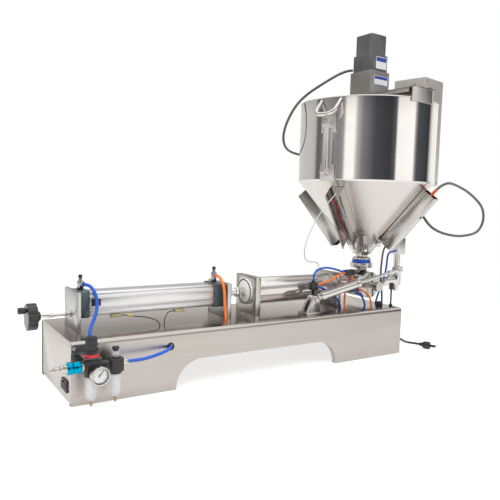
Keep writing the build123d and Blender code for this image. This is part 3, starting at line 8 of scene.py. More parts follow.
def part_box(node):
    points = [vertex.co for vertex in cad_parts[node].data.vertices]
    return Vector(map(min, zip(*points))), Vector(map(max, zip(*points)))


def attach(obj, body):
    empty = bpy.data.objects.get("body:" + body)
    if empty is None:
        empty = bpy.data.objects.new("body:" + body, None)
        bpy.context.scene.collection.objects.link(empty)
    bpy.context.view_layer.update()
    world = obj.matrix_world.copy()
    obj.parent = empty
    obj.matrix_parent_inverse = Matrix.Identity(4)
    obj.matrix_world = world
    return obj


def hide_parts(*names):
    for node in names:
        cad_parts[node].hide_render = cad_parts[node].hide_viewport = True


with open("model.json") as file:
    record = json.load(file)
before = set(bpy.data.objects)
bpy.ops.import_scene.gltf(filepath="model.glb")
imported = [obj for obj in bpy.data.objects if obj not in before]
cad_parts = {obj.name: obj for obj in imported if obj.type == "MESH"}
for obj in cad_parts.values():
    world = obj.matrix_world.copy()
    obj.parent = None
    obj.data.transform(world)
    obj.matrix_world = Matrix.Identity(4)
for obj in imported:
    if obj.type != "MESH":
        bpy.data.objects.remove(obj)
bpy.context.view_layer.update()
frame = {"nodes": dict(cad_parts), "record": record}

# Base cover: one sheet of 2 mm stainless steel, folded down at the front and the back, with an arch
# cut in both long sides and a narrow lip turned in around it. The deck is polished, the sides are
# left with the fine grain of the mill.

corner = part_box("base_cover")[0]
base_long, base_wide = 1000, 275
node_bodies = {n: b for b, group in frame["record"]["behaviour"]["bodies"].items() for n in group}
same_spot, same_plane = 0.000002, 0.6  # metres and degrees


def at(x, y, z):
    """A place measured in millimetres from the base's front left corner, in the frame's metres."""
    return Vector((corner[0] + x / 1000, corner[1] + y / 1000, z / 1000))


def tree_with_sockets(name, tree_kind, inputs, outputs):
    """An empty node tree with its sockets, and its input and output nodes."""
    tree = bpy.data.node_groups.new(name, tree_kind)
    for label, kind, *value in inputs:
        socket = tree.interface.new_socket(name=label, in_out="INPUT", socket_type=kind)
        if value:
            socket.default_value = value[0]
    for label, kind in outputs:
        tree.interface.new_socket(name=label, in_out="OUTPUT", socket_type=kind)
    return tree, tree.nodes.new("NodeGroupInput"), tree.nodes.new("NodeGroupOutput")


def wire(tree, *pairs):
    """Joins sockets in a tree, given as (from, to) pairs."""
    for source, target in pairs:
        tree.links.new(source, target)


def node(tree, kind, values=None, **settings):
    """A new node with its settings, and the numbers or colours on its own sockets."""
    new = tree.nodes.new(kind)
    for label, value in settings.items():
        setattr(new, label, value)
    for label, value in (values or {}).items():
        new.inputs[label].default_value = value
    return new


grain, came, gone = tree_with_sockets(
    "mill grain", "ShaderNodeTree",
    [("Stretch", "NodeSocketVector", (20, 500, 500)), ("Smooth", "NodeSocketFloat", 0.2),
     ("Rough", "NodeSocketFloat", 0.3)],
    [("Roughness", "NodeSocketFloat"), ("Height", "NodeSocketFloat"), ("Shade", "NodeSocketFloat")])
place = node(grain, "ShaderNodeTexCoord")
pulled = node(grain, "ShaderNodeVectorMath", operation="MULTIPLY")
eased = node(grain, "ShaderNodeVectorMath", {"Scale": 0.11}, operation="SCALE")
lines = node(grain, "ShaderNodeTexNoise", {"Scale": 1.0, "Detail": 3.0})
streaks = node(grain, "ShaderNodeTexNoise", {"Scale": 1.0, "Detail": 2.0})
hands = node(grain, "ShaderNodeTexNoise", {"Scale": 9.0, "Detail": 4.0})
both = node(grain, "ShaderNodeMath", operation="ADD")
level = node(grain, "ShaderNodeMapRange", {"From Min": 0.7, "From Max": 1.3})
toned = node(grain, "ShaderNodeMix", {"Factor": 0.45}, data_type="FLOAT")
wire(grain, (place.outputs["Object"], pulled.inputs[0]), (came.outputs["Stretch"], pulled.inputs[1]),
     (pulled.outputs[0], lines.inputs["Vector"]), (place.outputs["Object"], hands.inputs["Vector"]),
     (pulled.outputs[0], eased.inputs[0]), (eased.outputs[0], streaks.inputs["Vector"]),
     (lines.outputs["Fac"], both.inputs[0]), (hands.outputs["Fac"], both.inputs[1]),
     (both.outputs[0], level.inputs["Value"]), (came.outputs["Smooth"], level.inputs["To Min"]),
     (came.outputs["Rough"], level.inputs["To Max"]), (level.outputs[0], gone.inputs["Roughness"]),
     (lines.outputs["Fac"], gone.inputs["Height"]), (hands.outputs["Fac"], toned.inputs["A"]),
     (streaks.outputs["Fac"], toned.inputs["B"]), (toned.outputs["Result"], gone.inputs["Shade"]))


def new_skin(name):
    """A new material, with its shader tree and its surface shader."""
    stuff = bpy.data.materials.new(name)
    stuff.use_nodes = True
    return stuff, stuff.node_tree, stuff.node_tree.nodes["Principled BSDF"]


def two_tones(tree, dark, light, low, high):
    """A ramp from a dark tone, up to low, to a light tone, from high."""
    ramp = node(tree, "ShaderNodeValToRGB")
    for mark, spot, tone in zip(ramp.color_ramp.elements, (low, high), (dark, light)):
        mark.position = spot
        mark.color = (*tone, 1)
    return ramp


def metal(name, dark, light, smooth, rough, stretch=(20, 500, 500), bump=0.02, metallic=1.0, ripple=0.0):
    """A metal with grain along one way, smudges from hands and cloths, and a ripple from polishing."""
    stuff, tree, skin = new_skin(name)
    skin.inputs["Metallic"].default_value = metallic
    marks = node(tree, "ShaderNodeGroup", {"Stretch": stretch, "Smooth": smooth, "Rough": rough},
                 node_tree=grain)
    tones = two_tones(tree, dark, light, 0.3, 0.7)
    relief = node(tree, "ShaderNodeBump", {"Strength": bump, "Distance": 0.0004})
    wire(tree, (marks.outputs["Shade"], tones.inputs["Fac"]),
         (tones.outputs["Color"], skin.inputs["Base Color"]),
         (marks.outputs["Roughness"], skin.inputs["Roughness"]),
         (marks.outputs["Height"], relief.inputs["Height"]),
         (relief.outputs["Normal"], skin.inputs["Normal"]))
    if ripple:
        where = node(tree, "ShaderNodeTexCoord")
        swell = node(tree, "ShaderNodeTexNoise", {"Scale": 11.0, "Detail": 1.0})
        wave = node(tree, "ShaderNodeBump", {"Strength": ripple, "Distance": 0.002})
        wire(tree, (where.outputs["Object"], swell.inputs["Vector"]),
             (swell.outputs["Fac"], wave.inputs["Height"]),
             (wave.outputs["Normal"], relief.inputs["Normal"]))
    return stuff


side_steel = metal("mill sheet of the sides", (0.50, 0.465, 0.435), (0.57, 0.535, 0.505), smooth=0.26,
                   rough=0.36, stretch=(20, 500, 500), bump=0.05)
deck_steel = metal("polished deck sheet", (0.50, 0.46, 0.43), (0.60, 0.56, 0.52), smooth=0.12, rough=0.22,
                   stretch=(14, 400, 400), bump=0.02, ripple=0.05)


def placed(name, data):
    """A new object in the scene for a mesh, a curve, a lamp or a camera."""
    thing = bpy.data.objects.new(name, data)
    bpy.context.scene.collection.objects.link(thing)
    return thing


def settled(source):
    """The plain mesh that an object's curve or modifiers give."""
    return bpy.data.meshes.new_from_object(source.evaluated_get(bpy.context.evaluated_depsgraph_get()))


def smoothed(mesh, keep):
    """Shades a mesh smooth, but keeps the edges that turn by more than keep degrees."""
    mesh.shade_smooth()
    mesh.set_sharp_from_angle(angle=radians(keep))


def finished(part, material, edge=0.35, keep=35):
    """A copy of a solid with merged faces, smooth rounds and edges broken by edge millimetres."""
    mesh = frame["nodes"][part].data.copy()
    work = bmesh.new()
    work.from_mesh(mesh)
    bmesh.ops.remove_doubles(work, verts=work.verts, dist=same_spot)
    bmesh.ops.dissolve_limit(work, angle_limit=radians(same_plane), verts=work.verts, edges=work.edges)
    work.to_mesh(mesh)
    work.free()
    piece = placed(part + "_finished", mesh)
    if edge:
        broken = piece.modifiers.new("broken edges", "BEVEL")
        broken.width = edge / 1000
        broken.segments = 2
        broken.limit_method = "ANGLE"
        broken.angle_limit = radians(keep)
        broken.use_clamp_overlap = True
        mesh = settled(piece)
        piece.modifiers.clear()
        piece.data = mesh
    mesh.materials.clear()
    mesh.materials.append(material)
    smoothed(mesh, keep)
    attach(piece, node_bodies[part])
    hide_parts(part)
    return piece


def paint(piece, material, wanted):
    """Gives another material to the faces that are wanted by their middle, in millimetres, and normal."""
    piece.data.materials.append(material)
    for face in piece.data.polygons:
        if wanted((face.center - at(0, 0, 0)) * 1000, face.normal):
            face.material_index = len(piece.data.materials) - 1


cover = finished("base_cover", side_steel, edge=0)
paint(cover, deck_steel, lambda spot, facing: facing.z > 0.5)


# End panels: two flat sheets set just inside the folded cover, held by countersunk screws from the
# front and the back, so that a thin seam runs round them; its shade is painted shadow, near-black strips
# laid along the panels' edges. They have the same grain as the cover.

panel_steel = metal("end panel sheet", (0.56, 0.525, 0.49), (0.64, 0.605, 0.57), smooth=0.24, rough=0.34,
                    stretch=(500, 20, 500), bump=0.05)
finished("end_panels", panel_steel, edge=0.3)

screw_tree, came, gone = tree_with_sockets(
    "screw heads", "GeometryNodeTree",
    [("Geometry", "NodeSocketGeometry"), ("Head Radius", "NodeSocketFloat"),
     ("Head Height", "NodeSocketFloat"), ("Socket Share", "NodeSocketFloat"), ("Sides", "NodeSocketInt"),
     ("Facing", "NodeSocketVector"), ("Metal", "NodeSocketMaterial")],
    [("Geometry", "NodeSocketGeometry")])
socket_depth = 0.55
head = node(screw_tree, "GeometryNodeMeshCylinder")
rim = node(screw_tree, "GeometryNodeExtrudeMesh", {"Offset Scale": 0.0}, mode="FACES")
shrink = node(screw_tree, "GeometryNodeScaleElements")
sink = node(screw_tree, "GeometryNodeExtrudeMesh", mode="FACES")
depth = node(screw_tree, "ShaderNodeMath", {1: -socket_depth}, operation="MULTIPLY")
half = node(screw_tree, "ShaderNodeMath", {1: 0.5}, operation="MULTIPLY")
lift_by = node(screw_tree, "ShaderNodeCombineXYZ")
lift = node(screw_tree, "GeometryNodeTransform")
dots = node(screw_tree, "GeometryNodeMeshToPoints")
stand = node(screw_tree, "GeometryNodeInstanceOnPoints")
real = node(screw_tree, "GeometryNodeRealizeInstances")
coat = node(screw_tree, "GeometryNodeSetMaterial")
wire(screw_tree, (came.outputs["Sides"], head.inputs["Vertices"]),
     (came.outputs["Head Radius"], head.inputs["Radius"]),
     (came.outputs["Head Height"], head.inputs["Depth"]), (head.outputs["Mesh"], rim.inputs["Mesh"]),
     (head.outputs["Top"], rim.inputs["Selection"]), (rim.outputs["Mesh"], shrink.inputs["Geometry"]),
     (rim.outputs["Top"], shrink.inputs["Selection"]),
     (came.outputs["Socket Share"], shrink.inputs["Scale"]),
     (shrink.outputs["Geometry"], sink.inputs["Mesh"]), (rim.outputs["Top"], sink.inputs["Selection"]),
     (came.outputs["Head Height"], depth.inputs[0]), (depth.outputs[0], sink.inputs["Offset Scale"]),
     (came.outputs["Head Height"], half.inputs[0]), (half.outputs[0], lift_by.inputs["Z"]),
     (sink.outputs["Mesh"], lift.inputs["Geometry"]), (lift_by.outputs[0], lift.inputs["Translation"]),
     (came.outputs["Geometry"], dots.inputs["Mesh"]), (dots.outputs[0], stand.inputs["Points"]),
     (lift.outputs[0], stand.inputs["Instance"]), (came.outputs["Facing"], stand.inputs["Rotation"]),
     (stand.outputs[0], real.inputs[0]), (real.outputs[0], coat.inputs["Geometry"]),
     (came.outputs["Metal"], coat.inputs["Material"]), (coat.outputs[0], gone.inputs[0]))
screw_inputs = {item.name: item.identifier for item in screw_tree.interface.items_tree
                if item.in_out == "INPUT"}
screw_steel = metal("screw steel", (0.42, 0.41, 0.40), (0.55, 0.54, 0.52), smooth=0.22, rough=0.34,
                    stretch=(300, 300, 300), bump=0.01)
screw_radius, screw_high, screw_in, screw_rows = 2.6, 0.5, 10, (22, 108)


def screws(name, spots, facing, height, like, share=0.55, sides=24):
    """Screw heads at the given places, all facing one way; like is the node they belong to."""
    mesh = bpy.data.meshes.new(name)
    mesh.from_pydata([at(*spot) for spot in spots], [], [])
    heads = placed(name, mesh)
    maker = heads.modifiers.new("screws", "NODES")
    maker.node_group = screw_tree
    turn = Vector((0, 0, 1)).rotation_difference(Vector(facing)).to_euler()
    values = {"Head Radius": screw_radius / 1000, "Head Height": height / 1000, "Socket Share": share,
              "Sides": sides, "Facing": tuple(turn), "Metal": screw_steel}
    for label, value in values.items():
        maker[screw_inputs[label]] = value
    shaped = settled(heads)
    heads.modifiers.clear()
    heads.data = shaped
    smoothed(shaped, 30)
    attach(heads, node_bodies[like])
    return heads


for side, y, facing in (("front", 0, -1), ("rear", base_wide, 1)):
    screws(side + "_cover_screws", [(x, y, z) for x in (screw_in, base_long - screw_in) for z in screw_rows],
           (0, facing, 0), screw_high, "end_panels")


def made(name, work, material, like, keep=35, stands_for=None):
    """Turns a mesh in the making into a piece on the body of the node it belongs to."""
    bmesh.ops.remove_doubles(work, verts=work.verts, dist=same_spot)
    bmesh.ops.recalc_face_normals(work, faces=work.faces)
    mesh = bpy.data.meshes.new(name)
    work.to_mesh(mesh)
    work.free()
    mesh.materials.append(material)
    smoothed(mesh, keep)
    piece = placed(name, mesh)
    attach(piece, node_bodies[like])
    if stands_for:
        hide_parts(stands_for)
    return piece


def plate(name, middle, across, upward, width, height, thick, material, like):
    """A thin flat plate: its middle, the ways along its width and height, and its sizes."""
    across, upward = Vector(across).normalized(), Vector(upward).normalized()
    outward = across.cross(upward)
    work = bmesh.new()
    spots = [Vector(middle) + across * a * width / 2 + upward * b * height / 2 + outward * c * thick / 2
             for c in (-1, 1) for a, b in ((-1, -1), (1, -1), (1, 1), (-1, 1))]
    points = [work.verts.new(at(*spot)) for spot in spots]
    for face in ((3, 2, 1, 0), (4, 5, 6, 7), (0, 1, 5, 4), (1, 2, 6, 5), (2, 3, 7, 6), (3, 0, 4, 7)):
        work.faces.new([points[k] for k in face])
    return made(name, work, material, like)


# Painted shadow of the seam: thin near-black strips along the front, back and top edges of each end panel
# stand in for the shade in the gap between panel and cover.
painted_seam_shadow = metal("shadow of the seam", (0.035, 0.033, 0.03), (0.06, 0.056, 0.05), smooth=0.4, rough=0.5,
                  stretch=(60, 60, 60), bump=0.0, metallic=0.3)
seam_wide, seam_thick, seam_in = 0.9, 0.4, 0.75
fold, upright, upright_z, level_z = 2.2, 136, 69, 138.6
for label, x, way in (("left", seam_in, -1), ("right", base_long - seam_in, 1)):
    for side, middle, width, height in (("front", (x, fold, upright_z), seam_wide, upright),
                                        ("rear", (x, base_wide - fold, upright_z), seam_wide, upright),
                                        ("top", (x, base_wide / 2, level_z), base_wide - 4, seam_wide)):
        plate(f"{label}_{side}_seam_shadow", middle, (0, way, 0), (0, 0, 1), width, height, seam_thick, painted_seam_shadow,
              "end_panels")


# Power switch: a black plastic frame snapped into the left panel with its rocker, and on
# the back the moulded gland where the mains lead comes in.


def moulded(name, colour, rough=0.4, bump=0.15, scale=900.0, spread=0.25, coat=0.0):
    """A moulded plastic, rubber or paint with a fine even texture and slight changes of shade."""
    stuff, tree, skin = new_skin(name)
    skin.inputs["Coat Weight"].default_value = coat
    where = node(tree, "ShaderNodeTexCoord")
    fine = node(tree, "ShaderNodeTexNoise", {"Scale": scale})
    broad = node(tree, "ShaderNodeTexNoise", {"Scale": 30.0})
    dark, light = [c * (1 - spread) for c in colour], [min(1, c * (1 + spread)) for c in colour]
    tones = two_tones(tree, dark, light, 0.25, 0.75)
    gloss = node(tree, "ShaderNodeMapRange", {"To Min": rough * 0.85, "To Max": rough * 1.2})
    relief = node(tree, "ShaderNodeBump", {"Strength": bump, "Distance": 0.0003})
    wire(tree, (where.outputs["Object"], fine.inputs["Vector"]),
         (where.outputs["Object"], broad.inputs["Vector"]), (broad.outputs["Fac"], tones.inputs["Fac"]),
         (tones.outputs["Color"], skin.inputs["Base Color"]), (fine.outputs["Fac"], gloss.inputs["Value"]),
         (gloss.outputs[0], skin.inputs["Roughness"]), (fine.outputs["Fac"], relief.inputs["Height"]),
         (relief.outputs["Normal"], skin.inputs["Normal"]))
    return stuff


black_plastic = moulded("black moulded plastic", (0.022, 0.022, 0.024), rough=0.38)
finished("panel_fittings", black_plastic)
finished("switch_rocker", black_plastic)


# Valve block under the deck: an aluminium manifold with two spool valves. It is only seen through
# the arch and from below.

satin_aluminium = metal("satin aluminium", (0.60, 0.60, 0.59), (0.72, 0.71, 0.70), smooth=0.26, rough=0.40,
                        stretch=(60, 60, 60), bump=0.03)
finished("air_valve_block", satin_aluminium)


# Plates of the air cylinder: two sawn and milled aluminium plates that stand on the deck, bolted
# from below, and hold the cylinder's caps between them.

milled = metal("milled aluminium", (0.55, 0.55, 0.54), (0.66, 0.65, 0.64), smooth=0.24, rough=0.36,
               stretch=(400, 30, 400), bump=0.04)
finished("cylinder_plates", milled, edge=0.5)


# Caps of the air cylinder: die-cast aluminium with a dark teal coating, each held by four socket
# screws in deep round recesses.

teal = moulded("dark teal coating", (0.045, 0.075, 0.085), rough=0.33, bump=0.25, scale=500.0, spread=0.2,
               coat=0.2)
finished("air_caps", teal, edge=0.6)


# Barrel: extruded aluminium with a sensor groove on each side, drawn to a fine lengthwise grain and
# anodised in its natural colour. Two reed sensors are clamped on it, the rear one black.

drawn = metal("anodised drawn aluminium", (0.80, 0.80, 0.82), (0.87, 0.87, 0.88), smooth=0.30, rough=0.38,
              stretch=(6, 900, 900), bump=0.03)
finished("air_barrel", drawn, edge=0.4)
sensor_shell = moulded("yellowed sensor shell", (0.42, 0.36, 0.20), rough=0.4)
sensors = finished("reed_sensors", sensor_shell, edge=0.3)
black_sensor_end = 120
paint(sensors, black_plastic, lambda spot, facing: spot.x < black_sensor_end)


# Speed valves on the caps: nickelled brass bodies with a black knurled knob and a coloured release
# ring where the tube pushes in. They are screwed into the caps over a black seal.

nickel = metal("nickelled brass", (0.55, 0.52, 0.47), (0.66, 0.63, 0.57), smooth=0.16, rough=0.28,
               stretch=(200, 200, 200), bump=0.01)
valves = finished("flow_controls", nickel, edge=0.2)
seal_top = 243
paint(valves, black_plastic, lambda spot, facing: spot.z < seal_top)
finished("rear_flow_knob", black_plastic, edge=0)
finished("front_flow_knob", black_plastic, edge=0)


def lathed(work, profile, start, along, steps=48):
    """Adds a turned form to a mesh: (radius, distance) points about a line that leaves start."""
    turn = Vector((0, 0, 1)).rotation_difference(Vector(along)).to_matrix()
    rings = []
    for radius, far in profile:
        count = 1 if radius == 0 else steps
        ring = []
        for k in range(count):
            angle = 2 * pi * k / steps
            spot = turn @ Vector((radius * cos(angle), radius * sin(angle), far))
            ring.append(work.verts.new(at(start[0] + spot.x, start[1] + spot.y, start[2] + spot.z)))
        rings.append(ring)
    for low, high in zip(rings, rings[1:]):
        for k in range(steps):
            a, b = low[k % len(low)], low[(k + 1) % len(low)]
            c, d = high[(k + 1) % len(high)], high[k % len(high)]
            face = [v for n, v in enumerate((a, b, c, d)) if v not in (a, b, c, d)[:n]]
            if len(face) > 2:
                work.faces.new(face)


blue_plastic = moulded("blue release ring", (0.01, 0.07, 0.42), rough=0.3, bump=0.05)
release_ring = [(4.2, 0), (5.4, 0), (5.8, 0.5), (5.8, 1.6), (5.2, 2.2), (4.2, 2.2), (4.2, 0)]
for label, start, along in (("rear", (63.2, 129.8, 246), (0.52, -0.85, 0)),
                            ("front", (418.5, 130, 252), (0, -1, 0))):
    ring = bmesh.new()
    lathed(ring, release_ring, start, along, 32)
    made(label + "_release_ring", ring, blue_plastic, "flow_controls")


# Pistons: the air cylinder's hard-chromed rod with its hexagonal coupling, and the white plastic
# piston with dark sealing rings that shows at the mouth of the product cylinder.

chromed = metal("hard chromed steel", (0.74, 0.73, 0.71), (0.80, 0.79, 0.77), smooth=0.05, rough=0.12,
                stretch=(30, 300, 300), bump=0.0)
finished("piston_rod", chromed, edge=0.3)
white_plastic = moulded("white food plastic", (0.88, 0.87, 0.85), rough=0.4, bump=0.1, scale=400.0,
                        spread=0.05)
finished("product_piston", white_plastic, edge=0)
seal = moulded("dark sealing ring", (0.03, 0.028, 0.027), rough=0.45)
axis_z, middle_y = 200.5, base_wide / 2
piston_face, groove, near_wall = 516, 33.0, 34.9
work = bmesh.new()
for far in (7, 16):
    lathed(work, [(groove, far), (near_wall, far + 0.4), (near_wall, far + 2.6), (groove, far + 3.0),
                  (groove, far)], (piston_face, middle_y, axis_z), (1, 0, 0), 96)
lathed(work, [(31.5, 0), (34.8, 0.2), (34.8, 1.0), (31.5, 1.2), (31.5, 0)],
       (piston_face - 0.3, middle_y, axis_z), (1, 0, 0), 96)
made("piston_rings", work, seal, "product_piston")


# Product cylinder: a mirror-polished stainless tube between two thick satin plates on welded feet.
# The tube's ends are broken a little, and its bore is honed for the piston's rings.

plate_steel = metal("plate steel", (0.52, 0.50, 0.47), (0.62, 0.60, 0.57), smooth=0.2, rough=0.32,
                    stretch=(400, 400, 40), bump=0.02)
finished("product_plates", plate_steel, edge=0.7)
tube_mirror = metal("polished tube steel", (0.66, 0.64, 0.615), (0.76, 0.74, 0.715), smooth=0.12,
                    rough=0.19, stretch=(14, 300, 300), bump=0.01, metallic=0.85)
bore, skin_r, tube_long, tube_start = 35.0, 37.5, 274, 538
tube = bmesh.new()
lathed(tube, [(bore, 0), (skin_r - 0.2, 0), (skin_r, 0.4), (skin_r, tube_long - 0.4),
              (skin_r - 0.2, tube_long), (bore, tube_long), (bore, 0)],
       (tube_start, middle_y, axis_z), (1, 0, 0), 128)
made("product_tube_polished", tube, tube_mirror, "product_tube", stands_for="product_tube")


# Handwheel: black bakelite wheel with finger lobes, a turning handle on a pin, and the bright lead
# screw that sets the stroke, with its collar and sleeve.

bakelite = moulded("black bakelite", (0.018, 0.017, 0.018), rough=0.28, bump=0.08, scale=600.0,
                   spread=0.2, coat=0.3)
finished("handwheel", bakelite, edge=0)
finished("crank_handle", bakelite, edge=0)
screw_r, screw_long, wheel_z = 4.05, 40.5, 176
work = bmesh.new()
for start_x, profile in (
        (-4.8, [(0, 0), (screw_r, 0), (screw_r, screw_long), (0, screw_long)]),
        (30.9, [(screw_r, 0), (7.1, 0), (7.1, 4.9), (screw_r, 4.9), (screw_r, 0)]),
        (-34, [(screw_r, 0), (5.5, 0), (6, 1), (6, 29), (screw_r, 29), (screw_r, 0)])):
    lathed(work, profile, (start_x, middle_y, wheel_z), (1, 0, 0), 32)
made("lead_screw", work, chromed, "handwheel")


# Rotary valve: a turned stainless housing with its branch, neck and outlet welded on; a plug with a
# spindle turns in it, and a round lever is clamped on the spindle.

turned_steel = metal("turned stainless steel", (0.56, 0.54, 0.51), (0.68, 0.66, 0.63), smooth=0.13,
                     rough=0.24, stretch=(300, 300, 300), bump=0.01)
finished("valve_body", turned_steel, edge=0)
finished("valve_plug", turned_steel, edge=0)
finished("valve_lever", turned_steel, edge=0)


# Small air cylinder that turns the valve: a stainless tube with turned caps on a clevis bracket, and
# its chromed rod with the rod-end eye. Its tubes push into black plastic fittings.

finished("pen_bracket", plate_steel, edge=0.3)
pen_steel = metal("fine polished steel", (0.66, 0.64, 0.62), (0.75, 0.73, 0.70), smooth=0.08, rough=0.16,
                  stretch=(40, 400, 400), bump=0.0)
finished("pen_barrel", pen_steel, edge=0)
finished("pen_rod", chromed, edge=0)
finished("tube_fittings", black_plastic, edge=0.5)


# Nozzle: a polished outlet pipe, guide tube and filling tube, welded together, with a small square
# air cylinder on top that lifts the stem.

finished("nozzle_body", pen_steel, edge=0)
finished("nozzle_cylinder", satin_aluminium, edge=0.5)
finished("nozzle_plunger", chromed, edge=0)


# Neck: a blue silicone ring between two turned ferrules, closed by a hinged band clamp with a wing
# bolt, so that the hopper lifts off for washing.

blue_rubber = moulded("blue silicone", (0.012, 0.11, 0.60), rough=0.42, bump=0.1, scale=300.0, spread=0.15)
finished("neck_gasket", blue_rubber, edge=0)
finished("neck_clamp", turned_steel, edge=0)


# Hopper: the pan inside and the mirror-polished heating jacket outside, rolled from sheet and welded
# down the back, with the weld lines ground and polished. The cone is left satin.

hopper_x, hopper_y, upright_way = 955.0, 137.5, (0, 0, 1)
rim_z, jacket_r, cone_top, neck_r, neck_z = 757, 209.0, 519, 29, 300
mirror = metal("mirror-polished steel", (0.74, 0.725, 0.71), (0.81, 0.80, 0.79), smooth=0.04, rough=0.09,
               stretch=(20, 400, 400), bump=0.0, ripple=0.10)
cone_steel = metal("satin cone sheet", (0.64, 0.61, 0.58), (0.74, 0.71, 0.685), smooth=0.20, rough=0.32,
                   stretch=(9, 9, 9), bump=0.0, ripple=0.015)
work = bmesh.new()
lathed(work, [(208.2, 754), (jacket_r, 753.2), (jacket_r, 752), (jacket_r, 640), (jacket_r, 524.5),
              (jacket_r, 522.5), (208.6, 520.3), (207.6, 518.4), (206.6, 517.2), (118, 408.5),
              (neck_r, neck_z), (27.5, neck_z), (117, 410.3), (206.3, cone_top), (207.5, 524), (207.5, 754),
              (208.2, 754)], (hopper_x, hopper_y, 0), upright_way, 256)
lathed(work, [(19, 296), (neck_r, 296), (29.4, 297), (29.4, neck_z), (19, neck_z), (19, 296)],
       (hopper_x, hopper_y, 0), upright_way, 96)
jacket = made("heating_jacket", work, mirror, "hopper_jacket", 20, stands_for="hopper_jacket")
paint(jacket, cone_steel, lambda spot, facing: spot.z < cone_top)
work = bmesh.new()
lathed(work, [(198.5, 753.8), (210.5, 754.2), (210.9, 755.6), (210.2, rim_z), (197.2, rim_z), (197, 756),
              (197, 526), (15, 314), (15, 279), (28.6, 279), (29, 279.6), (29, 282.4), (28.6, 283),
              (19, 288), (19, 310), (198.5, 524.6), (198.5, 753.8)],
       (hopper_x, hopper_y, 0), upright_way, 192)
made("polished_pan", work, pen_steel, "hopper_pan", 28, stands_for="hopper_pan")


# Heater channels: four folded square channels welded down the cone over the heating rods. One is
# open to the front, with its wires laid in.

channel_steel = metal("folded channel sheet", (0.50, 0.475, 0.45), (0.62, 0.595, 0.57), smooth=0.12,
                      rough=0.24, stretch=(300, 300, 30), ripple=0.07)
finished("heater_channels", channel_steel, edge=0.3)
channel_out, channel_z, inwards, downwards = 146.1, 408, 0.633, 0.774


def about(turn, radial, side, z):
    """A place round the hopper's axis: its bearing in degrees, distance out, distance aside and height."""
    a = radians(turn)
    return hopper_x + radial * cos(a) - side * sin(a), hopper_y + radial * sin(a) + side * cos(a), z


def round_line(name, points, diameter, sides, detail):
    """A round line drawn smoothly along its control points, as a live curve."""
    line = bpy.data.curves.new(name, "CURVE")
    line.dimensions = "3D"
    line.bevel_depth = diameter / 2000
    line.bevel_resolution = sides
    line.use_fill_caps = True
    run = line.splines.new("NURBS")
    run.points.add(len(points) - 1)
    for spot, target in zip(points, run.points):
        target.co = (*at(*spot), 1.0)
    run.order_u = 3
    run.use_endpoint_u = True
    run.resolution_u = detail
    return placed(name, line)


def strand(name, points, diameter, material, like):
    """A wire or sheath that belongs to a piece, as a mesh swept along one smooth line."""
    rail = round_line(name, points, diameter, 3, 8)
    mesh = settled(rail)
    bpy.data.objects.remove(rail)
    mesh.materials.clear()
    mesh.materials.append(material)
    mesh.shade_smooth()
    piece = placed(name, mesh)
    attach(piece, node_bodies[like])
    return piece


def down_the_channel(turn, along, side, out):
    """A place in a heater channel: distance down its length from its middle, aside, and off the cone."""
    return about(turn, channel_out - inwards * along + downwards * out, side,
                 channel_z - downwards * along - inwards * out)


def tubing(name, colour, rough=0.22):
    """A glossy soft tube or sheath, a little uneven in shade along its length."""
    return moulded(name, colour, rough, bump=0.02, scale=150.0, spread=0.12, coat=0.2)


open_channel, wire_thick = 203, 3.0
for label, colour, spots in (
        ("red", (0.50, 0.02, 0.015),
         [(-78, -8, 2), (-52, -4, 9), (-20, -9, 8), (12, -3, 6), (44, -8, 8), (76, -3, 9), (98, -7, 6)]),
        ("blue", (0.01, 0.05, 0.32),
         [(-60, 6, 3), (-36, 3, 9), (-8, 8, 6), (22, 4, 9), (50, 7, 8), (80, 3, 6), (99, 6, 5)]),
        ("brown", (0.20, 0.055, 0.02),
         [(-72, 0, 2), (-44, 1, 7), (-14, -2, 10), (16, 2, 9), (40, -1, 5), (72, 1, 8), (99, 0, 7)])):
    strand(label + "_heater_wire", [down_the_channel(open_channel, *spot) for spot in spots], wire_thick,
           tubing(label + " wire", colour, 0.3), "heater_channels")


# Level gauge and handles on the jacket, with the drain and the sensor sockets on the cone. The gauge
# is a satin plate with a glass tube between two nuts.

gauge_steel = metal("satin gauge plate", (0.60, 0.575, 0.55), (0.70, 0.675, 0.65), smooth=0.24, rough=0.36,
                    stretch=(300, 300, 30), bump=0.03, metallic=0.75)
finished("level_gauge", gauge_steel, edge=0.3)
finished("jacket_fittings", pen_steel, edge=0)


# Mixer drive: an inverted channel clipped over the rim carries the gear head and the motor, which
# has two bare label plates on its front. The mixer's shaft hangs from the gear head.

finished("motor_beam", channel_steel, edge=0.3)
gear_casting = metal("machined gear head", (0.30, 0.285, 0.27), (0.38, 0.365, 0.345), smooth=0.30,
                     rough=0.42, stretch=(60, 60, 60), bump=0.03, metallic=0.7)
finished("gearbox", gear_casting, edge=0.5)
motor_paint = moulded("dark grey motor enamel", (0.085, 0.085, 0.088), rough=0.34, bump=0.3, scale=350.0,
                      spread=0.2, coat=0.15)
finished("motor", motor_paint, edge=0.5)
finished("mixer", plate_steel, edge=0)
label_white = moulded("printed white foil", (0.62, 0.63, 0.66), rough=0.35, bump=0.02, scale=200.0,
                      spread=0.04)
label_blue = moulded("printed blue band", (0.02, 0.05, 0.30), rough=0.35, bump=0.02, scale=200.0,
                     spread=0.08)
drive_turn, off_face = radians(3), 0.3
drive_across = Vector((cos(drive_turn), sin(drive_turn), 0))
drive_front = Vector((sin(drive_turn), -cos(drive_turn), 0))
for label, to_face, aside, low, high, width, like in (("gear", 43.0, 4, 818, 844, 58, "gearbox"),
                                                      ("motor", 39.5, 6, 866, 902, 46, "motor")):
    tall = high - low
    middle = (Vector((hopper_x, hopper_y, (low + high) / 2)) + drive_front * (to_face + off_face)
              + drive_across * aside)
    plate(label + "_label", middle, drive_across, (0, 0, 1), width, tall, 0.5, label_white, like)
    band = middle + drive_front * off_face + Vector((0, 0, tall * 0.28))
    plate(label + "_label_band", band, drive_across, (0, 0, 1), width - 3, tall * 0.34, 0.3, label_blue,
          like)


